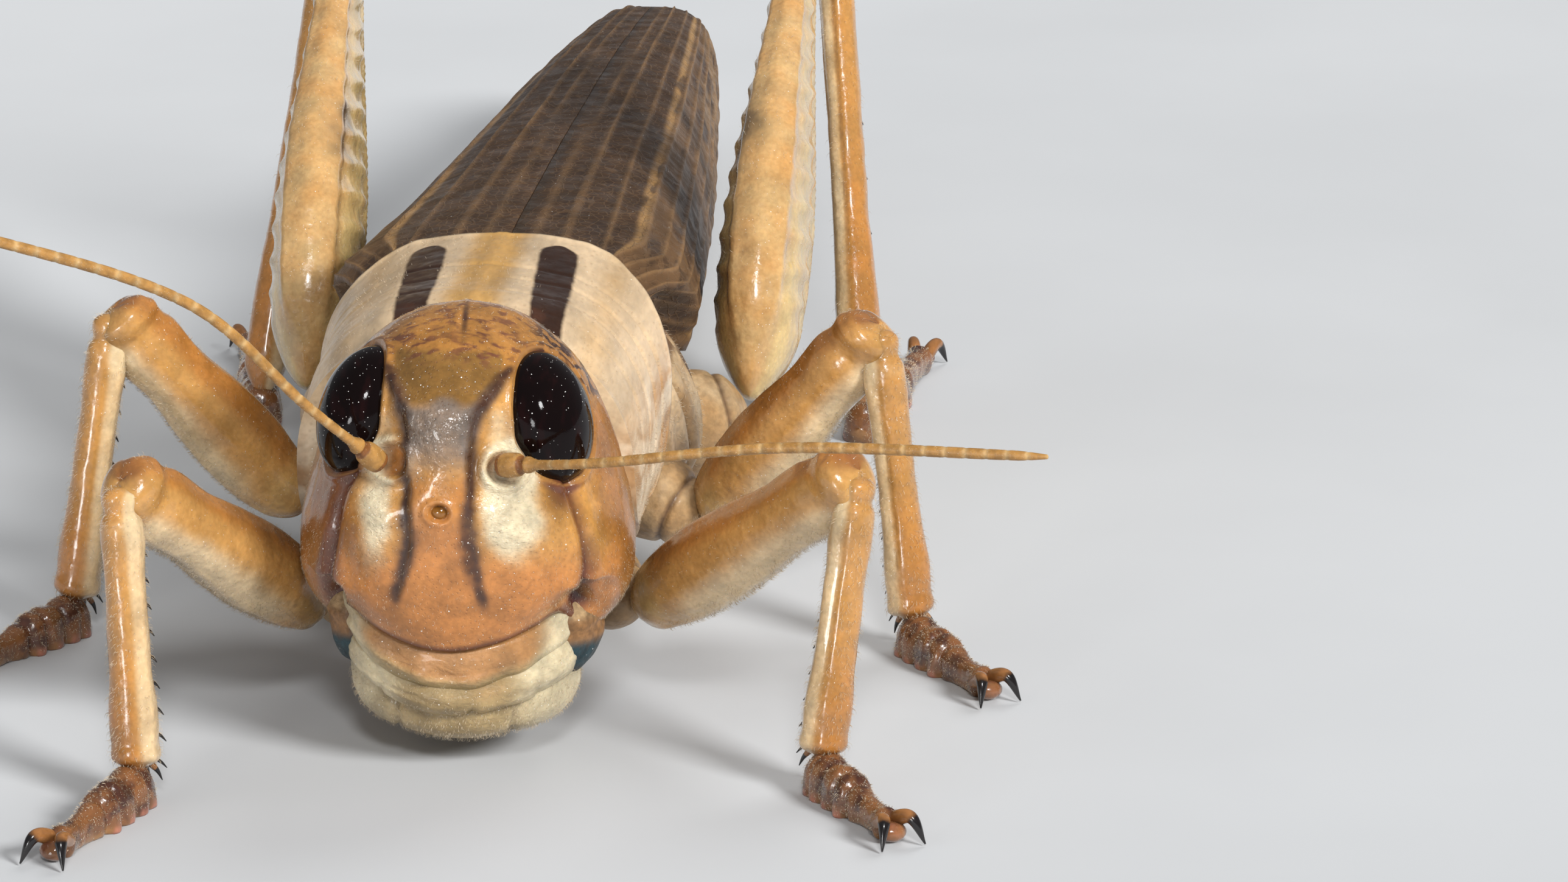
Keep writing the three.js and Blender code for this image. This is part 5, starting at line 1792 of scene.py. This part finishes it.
def coat_legs(furred, finish):
    for k, (name, femur, tibia, tarsus, down_femur, down_tibia, down_foot) in enumerate(furred):
        top = top_of(femur)
        fringe = 0.12 + 1.5 * ramp(-top, 0.5, 0.95) + 0.3 * ramp(np.abs(top), 0.8, 1.0)
        fringe = fringe * ramp(femur.t, 0.05, 0.15)
        bristle = 0.25 + 1.2 * hump(np.abs(np.sin(tibia.angle)), 1.0, 0.4)
        off_floor = ramp(tarsus.points[..., 2], 0.08, 0.3)
        groups = [
            hairs(femur, fringe, "femur", 200 + k, down_femur, (0, 3)),
            hairs(tibia, bristle, "tibia", 220 + k, down_tibia, (1, 3)),
            hairs(tarsus, off_floor, "tarsus", 240 + k, down_foot, (2, 3)),
        ]
        coat(f"{name}_hairs", groups, finish, "leg")


def coat_body(sheet, along, band, thorax, abdomen, antennae, finish):
    z = sheet.points[..., 2]
    weight = (0.15 + ramp(-z, -8, -5) + hump(along, 0.0, 0.05)) * (1 - 0.95 * band)
    coat("pronotum_hairs", [hairs(sheet, weight, "pronotum", 301, vec(0, 0.9, -0.3))], finish, "pronotum")
    _, y, z = xyz(thorax.points)
    lower = fall(z, 5.5, 8.0) * ramp(y, 9, 11) + 0.02
    groups = [
        hairs(thorax, lower, "thorax", 303, vec(0, 0.8, -0.6), (0, 2)),
        hairs(abdomen, 1, "abdomen", 305, vec(0, 1, -0.1), (1, 2)),
    ]
    coat("body_hairs", groups, finish, "body")
    for k, (name, (patch, directions)) in enumerate(antennae.items()):
        groups = [hairs(patch, 1, "antenna", 320 + k, unit(directions.mean(0)))]
        coat(f"antenna_{name}_hairs", groups, finish, "antenna")


# ---------------- camera, floor and light

CAMERA_TURN, CAMERA_RISE = math.radians(4), math.radians(18)
CAMERA_AWAY = 160.0  # mm from the ocellus
PHOTO = (2576, 1449)
OCELLUS_PIXEL = (722, 843)
MM_PER_PIXEL = 0.01465


def make_camera():
    camera = bpy.data.cameras.new("camera")
    camera.sensor_width = 36
    camera.lens = 36 * CAMERA_AWAY / (PHOTO[0] * MM_PER_PIXEL)
    camera.clip_start = 0.001
    holder = bpy.data.objects.new("camera", camera)
    bpy.context.scene.collection.objects.link(holder)
    a, e = CAMERA_TURN, CAMERA_RISE
    look = Vector((-math.sin(a) * math.cos(e), math.cos(a) * math.cos(e), -math.sin(e)))
    right = Vector((math.cos(a), math.sin(a), 0))
    up = right.cross(look)
    place = Vector(OCELLUS + SHIFT) - CAMERA_AWAY * look
    place -= (OCELLUS_PIXEL[0] - PHOTO[0] / 2) * MM_PER_PIXEL * right
    place -= (PHOTO[1] / 2 - OCELLUS_PIXEL[1]) * MM_PER_PIXEL * up
    turn = Matrix((right, up, -look)).transposed().to_4x4()
    turn.translation = place * MM
    holder.matrix_world = turn
    bpy.context.scene.camera = holder


def make_floor():
    """A flat floor that rises a little far away, so that low views end in floor too."""
    turn = np.linspace(0, 2 * math.pi, 96, endpoint=False)[None, :]
    reach = np.array([0.001, 0.3, 0.6, 0.75, 0.9, 1.05, 1.2, 1.35, 1.5])[:, None]
    height = 0.09 * ramp(reach, 0.55, 1.7) + 0 * turn
    patch = Patch(joined(reach * np.cos(turn), reach * np.sin(turn), height), end=False)
    quads, tris = patch.faces()
    mesh = bpy.data.meshes.new("floor")
    mesh.from_pydata(patch.corners().tolist(), [], [face[::-1] for face in quads.tolist() + tris.tolist()])
    mesh.shade_smooth()
    floor = bpy.data.objects.new("floor", mesh)
    bpy.context.scene.collection.objects.link(floor)
    finish = Finish("floor", (0.50, 0.51, 0.52), rough=0.7, specular=0.2)
    finish.shade(0.05, 0.04)
    mesh.materials.append(finish.done())


# Each lamp: the way to it, how wide it looks in degrees, its strength, and if it shows in gloss.
LAMPS = (
    ("key", (0.22, -0.16, 0.17), 17, 3.9, False),
    ("front", (0.03, -0.19, 0.17), 10, 1.2, True),
    ("low", (-0.09, -0.20, 0.028), 11, 0.6, True),
    ("fill", (-0.22, -0.10, 0.14), 40, 0.35, False),
    ("back", (0.10, 0.20, 0.22), 35, 1.2, False),
)


def make_lights():
    bpy.context.scene.view_settings.view_transform = "Standard"
    world = bpy.data.worlds.new("studio")
    bpy.context.scene.world = world
    world.use_nodes = True
    sky = world.node_tree.nodes["Background"].inputs
    sky["Color"].default_value = (0.80, 0.82, 0.85, 1)
    sky["Strength"].default_value = 0.22
    for name, toward, spread, strength, glints in LAMPS:
        light = bpy.data.lights.new(name, "SUN")
        light.angle, light.energy = math.radians(spread), strength
        holder = bpy.data.objects.new(name, light)
        holder.visible_glossy = glints
        holder.rotation_euler = Vector(toward).to_track_quat("Z", "Y").to_euler()
        bpy.context.scene.collection.objects.link(holder)


# ---------------- everything together


def make_body(coxae):
    thorax, abdomen = thorax_patch(), abdomen_patch()
    patches = [thorax, abdomen, *tip_patches(), *(patch for _, patch in coxae)]
    rings = [f"abdomen_ring_{i + 1}" for i in range(RINGS)]
    nodes = ["thorax", "abdomen_tip", *rings, *(name for name, _ in coxae)]
    build("body_skin", patches, body_finish(), nodes)
    return thorax, abdomen


make_camera()
make_floor()
make_lights()
head = make_head()
make_eyes()
make_ocelli()
antennae = make_antennae()
mouth = make_mouth()
sheet, sheet_along, dark_band = make_pronotum()
make_wings()
coxae, furred = make_legs()
thorax, abdomen = make_body(coxae)
hair = hair_finish()
coat_head(head, mouth, hair)
coat_legs(furred, hair)
coat_body(sheet, sheet_along, dark_band, thorax, abdomen, antennae, hair)
